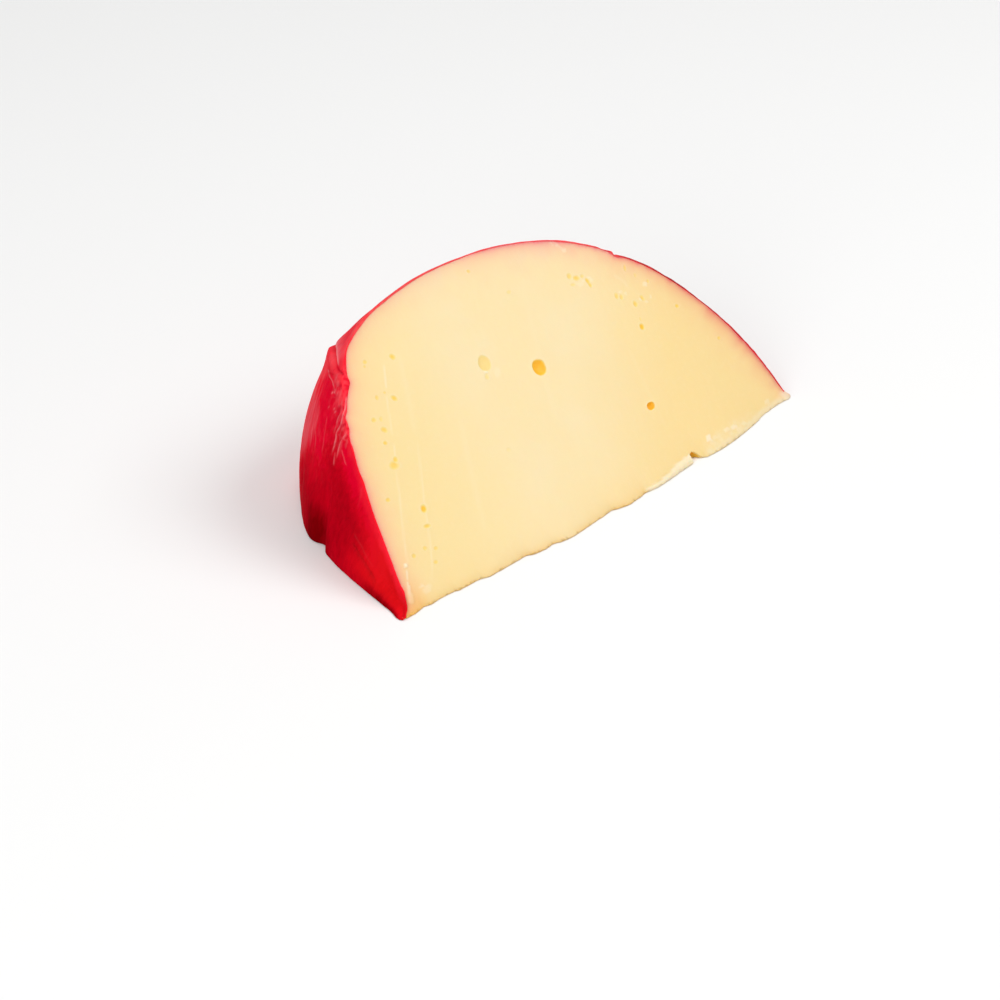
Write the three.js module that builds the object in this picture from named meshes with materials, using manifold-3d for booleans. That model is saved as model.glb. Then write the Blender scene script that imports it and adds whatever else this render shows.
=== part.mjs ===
// Wedge of prato cheese cut from a wax-coated ball.
//
// The wedge is a segment of the ball: a plane outline (one half of the ball's
// section) is swept about the ball's own axis through WEDGE_ANGLE.  The axis is
// the front bottom edge of the wedge.  One cut face lies flat underneath, the
// other leans back over it, and the swept outline between them is the waxed
// skin.  Millimetres, +X along the front edge, +Y to the back, +Z up, origin at
// the middle of the bounding box's underside.

import * as THREE from 'three';
import { mergeVertices } from 'three/addons/utils/BufferGeometryUtils.js';
import Module from 'manifold-3d';

// ---------------------------------------------------------------- sizes (mm)
const WEDGE_ANGLE = 47;          // degrees between the two cut faces

// half section of the ball: crown, flattened foot end (left), round end (right)
const CROWN_S = -11.2;           // place of the crown along the axis
const CROWN_H = 76.1;            // height of the crown above the axis
const FOOT_REACH = 63.2;         // crown to the flattened end
const FOOT_LEAN = 0.182;         // how far the flattened end leans in, per mm
const FOOT_P = 3.49;             // squareness of that end's shoulder
const FOOT_Q = 3.90;
const ROUND_REACH = 85.2;        // crown to the round end
const ROUND_P = 2.35;            // roundness of the other end
const ROUND_Q = 1.81;

// the soft paste spreads a little where the wedge rests
const FLARE = 2.5;               // skin bulge at the foot of the flattened end
const FLARE_ANGLE = 24;          // degrees above the rest face where it ends
const FLARE_FADE = 54;           // the flare runs out near this distance from the axis

// pucker of the wax in the flattened end, a groove that rises from the rest face
const PUCKER_Y = 39.5;           // distance behind the axis
const PUCKER_W = 2.6;            // half width
const PUCKER_D = 2.1;            // depth at the rest face
const PUCKER_TOP = 40;           // height where it has run out

// gathered wax at the shoulder beside the leaning face
const GATHER_T = 63;             // distance from the axis along the outline
const GATHER_W = 6.5;
const GATHER_D = 1.3;
const GATHER_ANGLE = 36;         // degrees above the rest face
const GATHER_SPREAD = 11;

// gentle unevenness of the skin
const LUMP_D = 0.28;
const LUMP_LONG = 46;            // wave length along the outline
const LUMP_ROUND = 17;           // degrees per wave round the axis

// front bottom edge: bowed forward, with a chip broken out of it
const BOW = [                    // [along the axis, forward of the axis]
  [-74.4, 0], [-70, 0.05], [-60, 0.7], [-50, 1.6], [-40, 2.5], [-30, 3.5], [-20, 4.5],
  [-10, 4.55], [0, 4.75], [10, 4.85], [20, 4.7], [30, 4.5], [38, 4.75], [44, 4.5],
  [50, 3.85], [57, 2.6], [62.4, 1.4], [68.4, 0.6], [74, 0],
];
const BOW_RISE = 1.7;            // how quickly the bow runs out up the face
const CHIP = [31.1, 2.1, 2.6, 2.9]; // place along the edge; half width, depth, height

// eyes in the leaning face: [along the axis, up the face, radius, sunk share]
// sunk share: 0 = cut through the middle, towards 1 = only a shallow dish left
const EYES = [
  [1.0, 40.9, 2.2, 0.05],
  [-14.3, 48.0, 2.4, 0.62],
  [27.0, 18.4, 1.35, 0.10],
  [-55.6, 35.9, 1.35, 0.40],
  [-54.8, 22.2, 0.95, 0.20],
  [39.5, 37.4, 0.85, 0.15],
  [28.1, 57.4, 1.05, 0.45],
  [31.5, 54.5, 0.95, 0.40],
  [38.2, 47.4, 0.95, 0.45],
  [42.3, 43.6, 0.8, 0.30],
  [45.5, 43.9, 0.75, 0.30],
];
const EYE_DETAIL = 2;

// mesh fineness
const COLUMNS = 96;              // along the outline
const SKIN_ROWS = 12;            // round the axis
const FACE_ROWS = 8;             // up the leaning face

// ----------------------------------------------------------------- functions
const rad = THREE.MathUtils.degToRad;
const psi = rad(WEDGE_ANGLE);
const smooth = (a, b, x) => THREE.MathUtils.smoothstep(x, a, b);
const bell = (x, w) => Math.exp(-((x / w) ** 2));

// outline: place along the axis for a height t, on the flattened and round ends
const footS = (t) =>
  CROWN_S - (FOOT_REACH - FOOT_LEAN * t) * Math.max(0, 1 - (t / CROWN_H) ** FOOT_Q) ** (1 / FOOT_P);
const roundS = (t) =>
  CROWN_S + ROUND_REACH * Math.max(0, 1 - (t / CROWN_H) ** ROUND_Q) ** (1 / ROUND_P);

// the outline in equal steps of its own length, from the flattened end over the
// crown to the round end
function outline(steps) {
  const fine = 4000;
  const pts = [];
  for (let i = 0; i <= fine; i++) {
    const a = (Math.PI * i) / fine;
    const t = i === 0 || i === fine ? 0 : CROWN_H * Math.sin(a) ** 0.8;
    pts.push([i <= fine / 2 ? footS(t) : roundS(t), t]);
  }
  const run = [0];
  for (let i = 1; i <= fine; i++) {
    run.push(run[i - 1] + Math.hypot(pts[i][0] - pts[i - 1][0], pts[i][1] - pts[i - 1][1]));
  }
  const out = [];
  let j = 0;
  for (let k = 0; k <= steps; k++) {
    const want = (run[fine] * k) / steps;
    while (j < fine - 1 && run[j + 1] < want) j++;
    const f = Math.min(1, Math.max(0, (want - run[j]) / (run[j + 1] - run[j] || 1)));
    out.push([
      pts[j][0] + f * (pts[j + 1][0] - pts[j][0]),
      pts[j][1] + f * (pts[j + 1][1] - pts[j][1]),
      want,
    ]);
  }
  out[0][1] = 0;
  out[steps][1] = 0;
  return out;
}

// forward bow of the front bottom edge at a place along it
function bow(s) {
  const last = BOW.length - 1;
  if (s <= BOW[0][0]) return BOW[0][1];
  if (s >= BOW[last][0]) return BOW[last][1];
  let i = 0;
  while (BOW[i + 1][0] < s) i++;
  const slope = (k) =>
    k === 0 || k === last ? 0 : (BOW[k + 1][1] - BOW[k - 1][1]) / (BOW[k + 1][0] - BOW[k - 1][0]);
  const h = BOW[i + 1][0] - BOW[i][0];
  const q = (s - BOW[i][0]) / h;
  return (2 * q ** 3 - 3 * q ** 2 + 1) * BOW[i][1] + (q ** 3 - 2 * q ** 2 + q) * h * slope(i)
    + (-2 * q ** 3 + 3 * q ** 2) * BOW[i + 1][1] + (q ** 3 - q ** 2) * h * slope(i + 1);
}

const profile = outline(COLUMNS);

// outward direction of the outline, in its own plane
function outward(i) {
  const a = profile[Math.max(0, i - 1)];
  const b = profile[Math.min(COLUMNS, i + 1)];
  const l = Math.hypot(b[0] - a[0], b[1] - a[1]);
  return [-(b[1] - a[1]) / l, (b[0] - a[0]) / l];
}

// skin point of outline column i at angle a above the rest face
function skin(i, a) {
  const [s, t, run] = profile[i];
  if (i === 0 || i === COLUMNS) return [s, 0, 0];
  const n = outward(i);
  const left = 1 - smooth(CROWN_S - 42, CROWN_S - 20, s);
  const y = t * Math.cos(a);
  const z = t * Math.sin(a);
  const tip = smooth(0, 7, t);
  let d = 0;
  d += FLARE * left * tip * (1 - smooth(FLARE_FADE - 14, FLARE_FADE + 10, t)) * (1 - smooth(0, rad(FLARE_ANGLE), a));
  d -= PUCKER_D * left * bell(y - PUCKER_Y, PUCKER_W) * (1 - smooth(0, PUCKER_TOP, z)) ** 2;
  d += GATHER_D * left * bell(t - GATHER_T, GATHER_W) * bell(a - rad(GATHER_ANGLE), rad(GATHER_SPREAD)) * (1 - smooth(psi - rad(6), psi, a));
  d += LUMP_D * smooth(8, 40, t) * Math.sin((2 * Math.PI * run) / LUMP_LONG + 1) * Math.sin((2 * Math.PI * a) / rad(LUMP_ROUND)) * (1 - smooth(psi - rad(8), psi, a));
  const r = t + n[1] * d;
  return [s + n[0] * d, r * Math.cos(a), r * Math.sin(a)];
}

// point of the leaning face in column i, at a share f of the way up to the rim
function face(i, f) {
  const rim = skin(i, psi);
  const [s, t] = profile[i];
  const up = f * Math.hypot(rim[1], rim[2]);
  const b = bow(s) * smooth(0, 4, t) * (1 - f) ** BOW_RISE;
  return [s + f * (rim[0] - s), up * Math.cos(psi) - b, up * Math.sin(psi)];
}

// closed surface of the wedge: skin, leaning face and rest face share their rims
function wedgeGeometry() {
  const verts = [];
  const tris = [];
  const seen = new Map();
  const put = (p) => {
    const key = p.map((v) => Math.round(v * 1e4)).join(',');
    if (!seen.has(key)) {
      seen.set(key, verts.length);
      verts.push(p);
    }
    return seen.get(key);
  };
  const tri = (a, b, c) => {
    if (a !== b && b !== c && c !== a) tris.push([a, b, c]);
  };
  const sheet = (grid) => {
    for (let i = 0; i + 1 < grid.length; i++) {
      for (let j = 0; j + 1 < grid[i].length; j++) {
        const [a, b, c, d] = [grid[i][j], grid[i + 1][j], grid[i + 1][j + 1], grid[i][j + 1]];
        tri(a, b, c);
        tri(a, c, d);
      }
    }
  };
  const skinGrid = [];
  const faceGrid = [];
  for (let i = 0; i <= COLUMNS; i++) {
    const up = [];
    for (let j = 0; j <= SKIN_ROWS; j++) up.push(put(skin(i, (psi * j) / SKIN_ROWS)));
    skinGrid.push(up.slice().reverse());
    const lean = [];
    for (let k = 0; k <= FACE_ROWS; k++) lean.push(k === FACE_ROWS ? up[SKIN_ROWS] : put(face(i, k / FACE_ROWS)));
    faceGrid.push(lean);
  }
  sheet(skinGrid);
  sheet(faceGrid);
  // rest face: one flat polygon between the front edge and the foot of the skin
  const ring = [];
  for (let i = 0; i <= COLUMNS; i++) ring.push(faceGrid[i][0]);
  for (let i = COLUMNS - 1; i > 0; i--) ring.push(skinGrid[i][SKIN_ROWS]);
  const flat = ring.map((v) => new THREE.Vector2(verts[v][0], verts[v][1]));
  for (const [a, b, c] of THREE.ShapeUtils.triangulateShape(flat, [])) tri(ring[c], ring[b], ring[a]);

  const g = new THREE.BufferGeometry();
  g.setAttribute('position', new THREE.Float32BufferAttribute(verts.flat(), 3));
  g.setIndex(tris.flat());
  return g;
}

const wasm = await Module();
wasm.setup();

function toSolid(geometry) {
  const g = geometry.clone();
  g.deleteAttribute('normal');
  g.deleteAttribute('uv');
  const merged = mergeVertices(g, 1e-4);
  return new wasm.Manifold(
    new wasm.Mesh({
      numProp: 3,
      vertProperties: new Float32Array(merged.attributes.position.array),
      triVerts: new Uint32Array(merged.index.array),
    }),
  );
}

function toGeometry(solid) {
  const m = solid.getMesh();
  const g = new THREE.BufferGeometry();
  const pos = new Float32Array(m.numVert * 3);
  for (let v = 0; v < m.numVert; v++) {
    for (let c = 0; c < 3; c++) pos[3 * v + c] = m.vertProperties[m.numProp * v + c];
  }
  g.setAttribute('position', new THREE.BufferAttribute(pos, 3));
  g.setIndex(new THREE.BufferAttribute(new Uint32Array(m.triVerts), 1));
  return g;
}

// eyes: round hollows of gas, cut open by the leaning face
let solid = toSolid(wedgeGeometry());
for (const [s, t, r, sunk] of EYES) {
  const ball = new THREE.IcosahedronGeometry(r / Math.sqrt(1 - sunk * sunk), EYE_DETAIL);
  // height of the face above its plane at that place, from the bow of the edge
  const top = profile.reduce((best, p) => (Math.abs(p[0] - s) < Math.abs(best[0] - s) ? p : best), profile[0])[1];
  const b = bow(s) * (1 - Math.min(1, t / top)) ** BOW_RISE;
  const lift = (sunk * r) / Math.sqrt(1 - sunk * sunk);
  ball.translate(
    s,
    t * Math.cos(psi) - b - lift * Math.sin(psi),
    t * Math.sin(psi) + lift * Math.cos(psi),
  );
  solid = solid.subtract(toSolid(ball));
}

// chip out of the front bottom edge, a scoop whose middle lies on the edge
const scoop = new THREE.IcosahedronGeometry(1, 3);
scoop.scale(CHIP[1], CHIP[2], CHIP[3]);
scoop.translate(CHIP[0], -bow(CHIP[0]), 0);
solid = solid.subtract(toSolid(scoop));

const geometry = toGeometry(solid);
geometry.computeBoundingBox();
const box = geometry.boundingBox;
geometry.translate(-(box.min.x + box.max.x) / 2, -(box.min.y + box.max.y) / 2, -box.min.z);
geometry.computeVertexNormals();

const cheese = new THREE.Mesh(
  geometry,
  new THREE.MeshStandardMaterial({ color: 0xfee4ac, roughness: 0.5, metalness: 0 }),
);
cheese.name = 'cheese';

const group = new THREE.Group();
group.add(cheese);

export default group;
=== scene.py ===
import math

import bmesh
import bpy
import numpy as np
from mathutils import Matrix, Vector
from mathutils.geometry import delaunay_2d_cdt


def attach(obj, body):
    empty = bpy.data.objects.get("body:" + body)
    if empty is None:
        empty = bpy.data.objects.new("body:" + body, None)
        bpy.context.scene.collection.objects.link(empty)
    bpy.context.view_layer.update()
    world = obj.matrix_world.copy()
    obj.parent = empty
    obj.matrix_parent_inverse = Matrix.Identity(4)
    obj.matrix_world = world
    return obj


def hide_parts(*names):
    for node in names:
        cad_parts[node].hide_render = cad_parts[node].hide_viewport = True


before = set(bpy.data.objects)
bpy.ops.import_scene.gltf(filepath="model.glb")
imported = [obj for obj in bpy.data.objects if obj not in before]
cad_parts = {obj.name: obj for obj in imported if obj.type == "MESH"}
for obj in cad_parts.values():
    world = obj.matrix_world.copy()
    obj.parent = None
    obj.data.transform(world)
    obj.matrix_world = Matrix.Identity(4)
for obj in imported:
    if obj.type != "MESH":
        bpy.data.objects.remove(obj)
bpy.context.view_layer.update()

MM = 0.001
SHIFT = np.array([0.7540, -35.6256, 0.0])    # edge frame -> part frame, mm

# ------------------------------------------------------------------ main sizes
PSI = math.radians(47.0)                     # angle between the two cut faces
CROWN_S, CROWN_H = -11.2, 76.1
FOOT_REACH, FOOT_LEAN, FOOT_P, FOOT_Q = 63.2, 0.182, 3.49, 3.90
ROUND_REACH, ROUND_P, ROUND_Q = 85.2, 2.35, 1.81
WAX = 0.75                                   # thickness of the wax
CP, SP = math.cos(PSI), math.sin(PSI)


# --------------------------------------------------------------- small helpers
def smooth(a, b, x):
    x = np.clip((np.asarray(x, float) - a) / (b - a), 0, 1)
    return x * x * (3 - 2 * x)


def bell(x, w):
    return np.exp(-(np.asarray(x, float) / w) ** 2)


def curve(table, x):
    """smooth line through a table of (place, value)"""
    tab = np.asarray(table, float)
    X, Y = tab[:, 0], tab[:, 1]
    m = np.zeros(len(X))
    m[1:-1] = (Y[2:] - Y[:-2]) / (X[2:] - X[:-2])
    x = np.clip(np.asarray(x, float), X[0], X[-1])
    i = np.clip(np.searchsorted(X, x) - 1, 0, len(X) - 2)
    h = X[i + 1] - X[i]
    q = (x - X[i]) / h
    return ((2 * q ** 3 - 3 * q ** 2 + 1) * Y[i] + (q ** 3 - 2 * q ** 2 + q) * h * m[i]
            + (-2 * q ** 3 + 3 * q ** 2) * Y[i + 1] + (q ** 3 - q ** 2) * h * m[i + 1])


def _hash(ix, iy, iz, seed):
    h = (ix.astype(np.int64) * 374761393 + iy.astype(np.int64) * 668265263
         + iz.astype(np.int64) * 1440662683 + seed * 974634777) & 0xFFFFFFFF
    h = ((h ^ (h >> 13)) * 1274126177) & 0xFFFFFFFF
    h = ((h ^ (h >> 16)) * 2246822519) & 0xFFFFFFFF
    return ((h ^ (h >> 15)) & 0xFFFFFF) / float(0xFFFFFF)


def noise3(x, y, z, seed=0):
    """smooth value noise, -1..1, one cell per unit"""
    x, y, z = np.broadcast_arrays(*[np.asarray(v, float) for v in (x, y, z)])
    xi, yi, zi = np.floor(x), np.floor(y), np.floor(z)
    fx, fy, fz = x - xi, y - yi, z - zi
    fx, fy, fz = [f * f * f * (f * (f * 6 - 15) + 10) for f in (fx, fy, fz)]
    xi, yi, zi = xi.astype(int), yi.astype(int), zi.astype(int)
    out = 0
    for dx in (0, 1):
        for dy in (0, 1):
            for dz in (0, 1):
                w = (fx if dx else 1 - fx) * (fy if dy else 1 - fy) * (fz if dz else 1 - fz)
                out = out + w * _hash(xi + dx, yi + dy, zi + dz, seed)
    return out * 2 - 1


def fbm(x, y, z, octaves=3, seed=0):
    out, a, f, tot = 0, 1.0, 1.0, 0.0
    for k in range(octaves):
        out = out + a * noise3(np.asarray(x) * f, np.asarray(y) * f, np.asarray(z) * f, seed + 17 * k)
        tot += a
        a *= 0.5
        f *= 2.03
    return out / tot


def along(px, py, pts):
    """distance, share of the way (0..1) and side (+ left of travel) to a polyline"""
    px, py = np.asarray(px, float), np.asarray(py, float)
    pts = np.asarray(pts, float)
    seg = np.hypot(*np.diff(pts, axis=0).T)
    start = np.r_[0, np.cumsum(seg)]
    best = np.full(px.shape, 1e9)
    share = np.zeros(px.shape)
    side = np.zeros(px.shape)
    for k in range(len(seg)):
        a, b = pts[k], pts[k + 1]
        d = (b - a) / seg[k]
        q = np.clip((px - a[0]) * d[0] + (py - a[1]) * d[1], 0, seg[k])
        cx, cy = px - a[0] - q * d[0], py - a[1] - q * d[1]
        dist = np.hypot(cx, cy)
        m = dist < best
        best = np.where(m, dist, best)
        share = np.where(m, (start[k] + q) / start[-1], share)
        side = np.where(m, np.sign(d[0] * cy - d[1] * cx), side)
    return best, share, side


# ------------------------------------------------------------------ the outline
def foot_s(t):
    return CROWN_S - (FOOT_REACH - FOOT_LEAN * t) * np.maximum(0, 1 - (t / CROWN_H) ** FOOT_Q) ** (1 / FOOT_P)


def round_s(t):
    return CROWN_S + ROUND_REACH * np.maximum(0, 1 - (t / CROWN_H) ** ROUND_Q) ** (1 / ROUND_P)


_a = np.linspace(0, np.pi, 12001)
_t = CROWN_H * np.sin(_a) ** 0.8
_t[0] = _t[-1] = 0.0
_s = np.where(_a <= np.pi / 2, foot_s(_t), round_s(_t))
_run = np.r_[0, np.cumsum(np.hypot(np.diff(_s), np.diff(_t)))]
LENGTH = _run[-1]
# the waxed corner runs out in a small foot, the other end in a blunt tip of paste
_s0 = _s
_s = _s + np.where(_a < np.pi / 2, -2.9 * np.exp(-(_t / 1.9) ** 1.5), 1.5 * np.exp(-(_t / 1.5) ** 2.2))
END_A, END_B = _s[0], _s[-1]


def outline(u):
    return np.interp(u, _run, _s), np.interp(u, _run, _t)


def outline_normal(u):
    u0, u1 = np.clip(np.asarray(u) - 0.8, 0, LENGTH), np.clip(np.asarray(u) + 0.8, 0, LENGTH)
    ds = np.interp(u1, _run, _s0) - np.interp(u0, _run, _s0)
    dt = np.interp(u1, _run, _t) - np.interp(u0, _run, _t)
    l = np.hypot(ds, dt)
    return -dt / l, ds / l


def u_of_s(s):
    return np.interp(s, _s0, _run)


# ----------------------------------------------------------- skin (wax) relief
def uv_line(pts):
    """(u mm, angle deg) -> (u, arc mm) on the skin"""
    return [(u, float(outline(u)[1]) * math.radians(a)) for u, a in pts]


FOLD = uv_line([(92.0, 29.5), (84.0, 35.0), (79.6, 38.2), (75.2, 41.4), (71.8, 43.2), (70.0, 43.9), (68.7, 44.3), (67.6, 45.0), (66.4, 46.1), (65.3, 47.3), (64.4, 48.4)])
# whiteness: crease whitening with a painted highlight along it
CREASES = [  # line, height mm, half width mm, whiteness
    (uv_line([(71.8, 37.6), (69.8, 39.0), (68.0, 40.2), (66.2, 41.5), (64.7, 42.3), (63.4, 43.0), (62.0, 43.5), (60.6, 43.9)]), 0.28, 0.40, 0.55),
    (uv_line([(72.0, 37.4), (68.4, 40.6), (66.4, 43.5), (65.4, 45.4)]), -0.16, 0.60, 0.0),
    (uv_line([(56.4, 47.8), (54.9, 47.2), (53.8, 46.3), (52.9, 45.0), (51.9, 43.1), (51.1, 41.1), (50.0, 39.3), (49.1, 37.4), (48.4, 35.1), (47.9, 33.4)]), 0.30, 0.34, 0.72),
    (uv_line([(59.2, 46.6), (55.5, 45.2), (53.2, 41.9), (51.5, 38.5)]), 0.20, 0.30, 0.35),
    (uv_line([(50.4, 48.2), (49.6, 47.0), (49.1, 46.0), (48.7, 44.0), (48.3, 42.0), (47.7, 40.2), (46.9, 38.6), (46.4, 37.0), (46.0, 35.6)]), 0.26, 0.32, 0.52),
    (uv_line([(47.7, 36.9), (47.3, 36.2), (46.7, 35.0), (45.9, 33.5), (45.5, 32.5)]), 0.20, 0.28, 0.30),
    (uv_line([(47.0, 40.7), (46.3, 41.0), (44.5, 41.2), (42.9, 41.0), (42.1, 40.9)]), 0.16, 0.30, 0.22),
    (uv_line([(67.0, 33.6), (65.9, 33.1), (62.9, 32.1), (60.0, 29.5), (57.1, 26.8), (55.2, 22.8)]), 0.16, 0.55, 0.16),
    (uv_line([(58.4, 37.0), (57.4, 36.1), (54.9, 34.1), (52.9, 30.9), (51.5, 27.5)]), 0.14, 0.45, 0.12),
    (uv_line([(64.0, 46.2), (63.2, 45.1), (61.8, 43.6), (60.8, 42.6)]), 0.20, 0.34, 0.25),
    (uv_line([(61.9, 46.9), (60.5, 46.4), (59.1, 45.0), (57.1, 43.9)]), 0.20, 0.34, 0.22),
    (uv_line([(35.0, 46.8), (34.1, 45.2), (32.5, 41.2), (31.0, 36.2)]), 0.14, 0.50, 0.04),
    (uv_line([(28.6, 17.4), (27.6, 17.1), (25.2, 16.0), (23.1, 15.6), (20.8, 15.6), (18.2, 14.1), (15.5, 12.2), (13.4, 9.6)]), -0.45, 0.55, 0.0),
    (uv_line([(29.0, 23.0), (23.0, 21.8), (17.0, 19.0)]), 0.14, 1.1, 0.04),
    (uv_line([(56.0, 45.0), (55.2, 40.0), (54.0, 35.0)]), -0.16, 0.6, 0.0),
    # the dome's far side, finished like the side that shows, with softer creases
    (uv_line([(66.0, 20.0), (61.0, 12.0), (57.5, 3.0)]), -0.22, 1.6, 0.0),
    (uv_line([(98.0, 0.0), (103.0, 9.0), (102.0, 19.0), (107.0, 29.0), (108.0, 38.0)]), 0.30, 2.0, 0.0),
    (uv_line([(126.0, 33.0), (133.0, 26.0), (142.0, 21.0), (152.0, 19.0), (160.0, 20.0)]), 0.30, 2.2, 0.0),
    (uv_line([(148.0, 42.0), (153.0, 33.0), (155.0, 22.0), (153.0, 9.0), (154.0, 0.0)]), -0.26, 2.2, 0.0),
    (uv_line([(182.0, 44.0), (187.0, 33.0), (186.0, 21.0), (190.0, 7.0)]), 0.26, 1.9, 0.0),
    (uv_line([(206.0, 38.0), (204.0, 24.0), (208.0, 8.0)]), -0.24, 1.8, 0.0),
    (uv_line([(112.0, 4.0), (119.0, 11.0), (128.0, 12.0), (137.0, 7.0)]), -0.26, 2.0, 0.0),
    (uv_line([(168.0, 6.0), (172.0, 14.0), (180.0, 18.0)]), -0.20, 1.7, 0.0),
]
# shallow dents of the round side: place (u mm, angle deg), half width mm, depth mm
DENTS = [(95.0, 14.0, 7.0, 0.35), (117.0, 27.0, 9.0, 0.45), (139.0, 8.0, 8.0, 0.40), (163.0, 32.0, 7.0, 0.35),
         (196.0, 20.0, 7.0, 0.30), (174.0, 27.0, 3.2, 0.22), (126.0, 41.0, 4.5, 0.20), (109.0, 18.0, 2.6, 0.18)]
NICK_U = float(u_of_s(44.9))


# the rim of the leaning face off the plain outline (outward, mm)
RIM_OUT = [(0, 0), (40, 0.05), (46, 0.30), (49, 0.34), (53.3, 0.42), (57, 0.12), (63, 0.05), (68, 0.20), (72, 0.34), (76, 0.18),
           (82, -0.05), (86, -0.36), (89.4, -0.66), (92.7, -0.70), (96, -0.52), (99.5, -0.30), (102.6, -0.05), (105.7, 0.08),
           (110, 0.17), (114.7, 0.07), (120, -0.10), (126, -0.16), (131, -0.22), (140, -0.34), (148, -0.25), (152, -0.12),
           (158, -0.02), (164, -0.05), (168, -0.12), (172, -0.18), (176, -0.14), (180, 0.05), (186, 0.12), (192, 0.06), (198, 0.0),
           (203, -0.1), (210, 0.0), (LENGTH, 0.0)]


def flare(t, a, s, y, z):
    """foot of the flattened end, spread where it rests, with the pucker in it (mm along -X)"""
    left = 1 - smooth(CROWN_S - 42, CROWN_S - 20, s)
    low = 1 - smooth(0, math.radians(24), a)
    corner = 2.9 * np.exp(-(t / 1.9) ** 1.5)
    f = (3.05 + 0.45 * bell(t - 2.0, 1.9)) * (1 - smooth(44, 62, t)) - corner
    f = f * left * low
    # pucker: a groove that rises from the foot, steep on its front side
    g = y - 39.3
    groove = 2.05 * np.where(g < 0, bell(g, 1.7), bell(g, 3.0)) + 0.35 * bell(g + 4, 3.2)
    return f - left * groove * (1 - smooth(0, 27, z)) ** 1.3


def fold_place(u, v):
    """place beside the fold (mm, + on the lower sheet), share of its length"""
    dist, share, side = along(u, v, FOLD)
    return dist * side, dist, share


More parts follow.
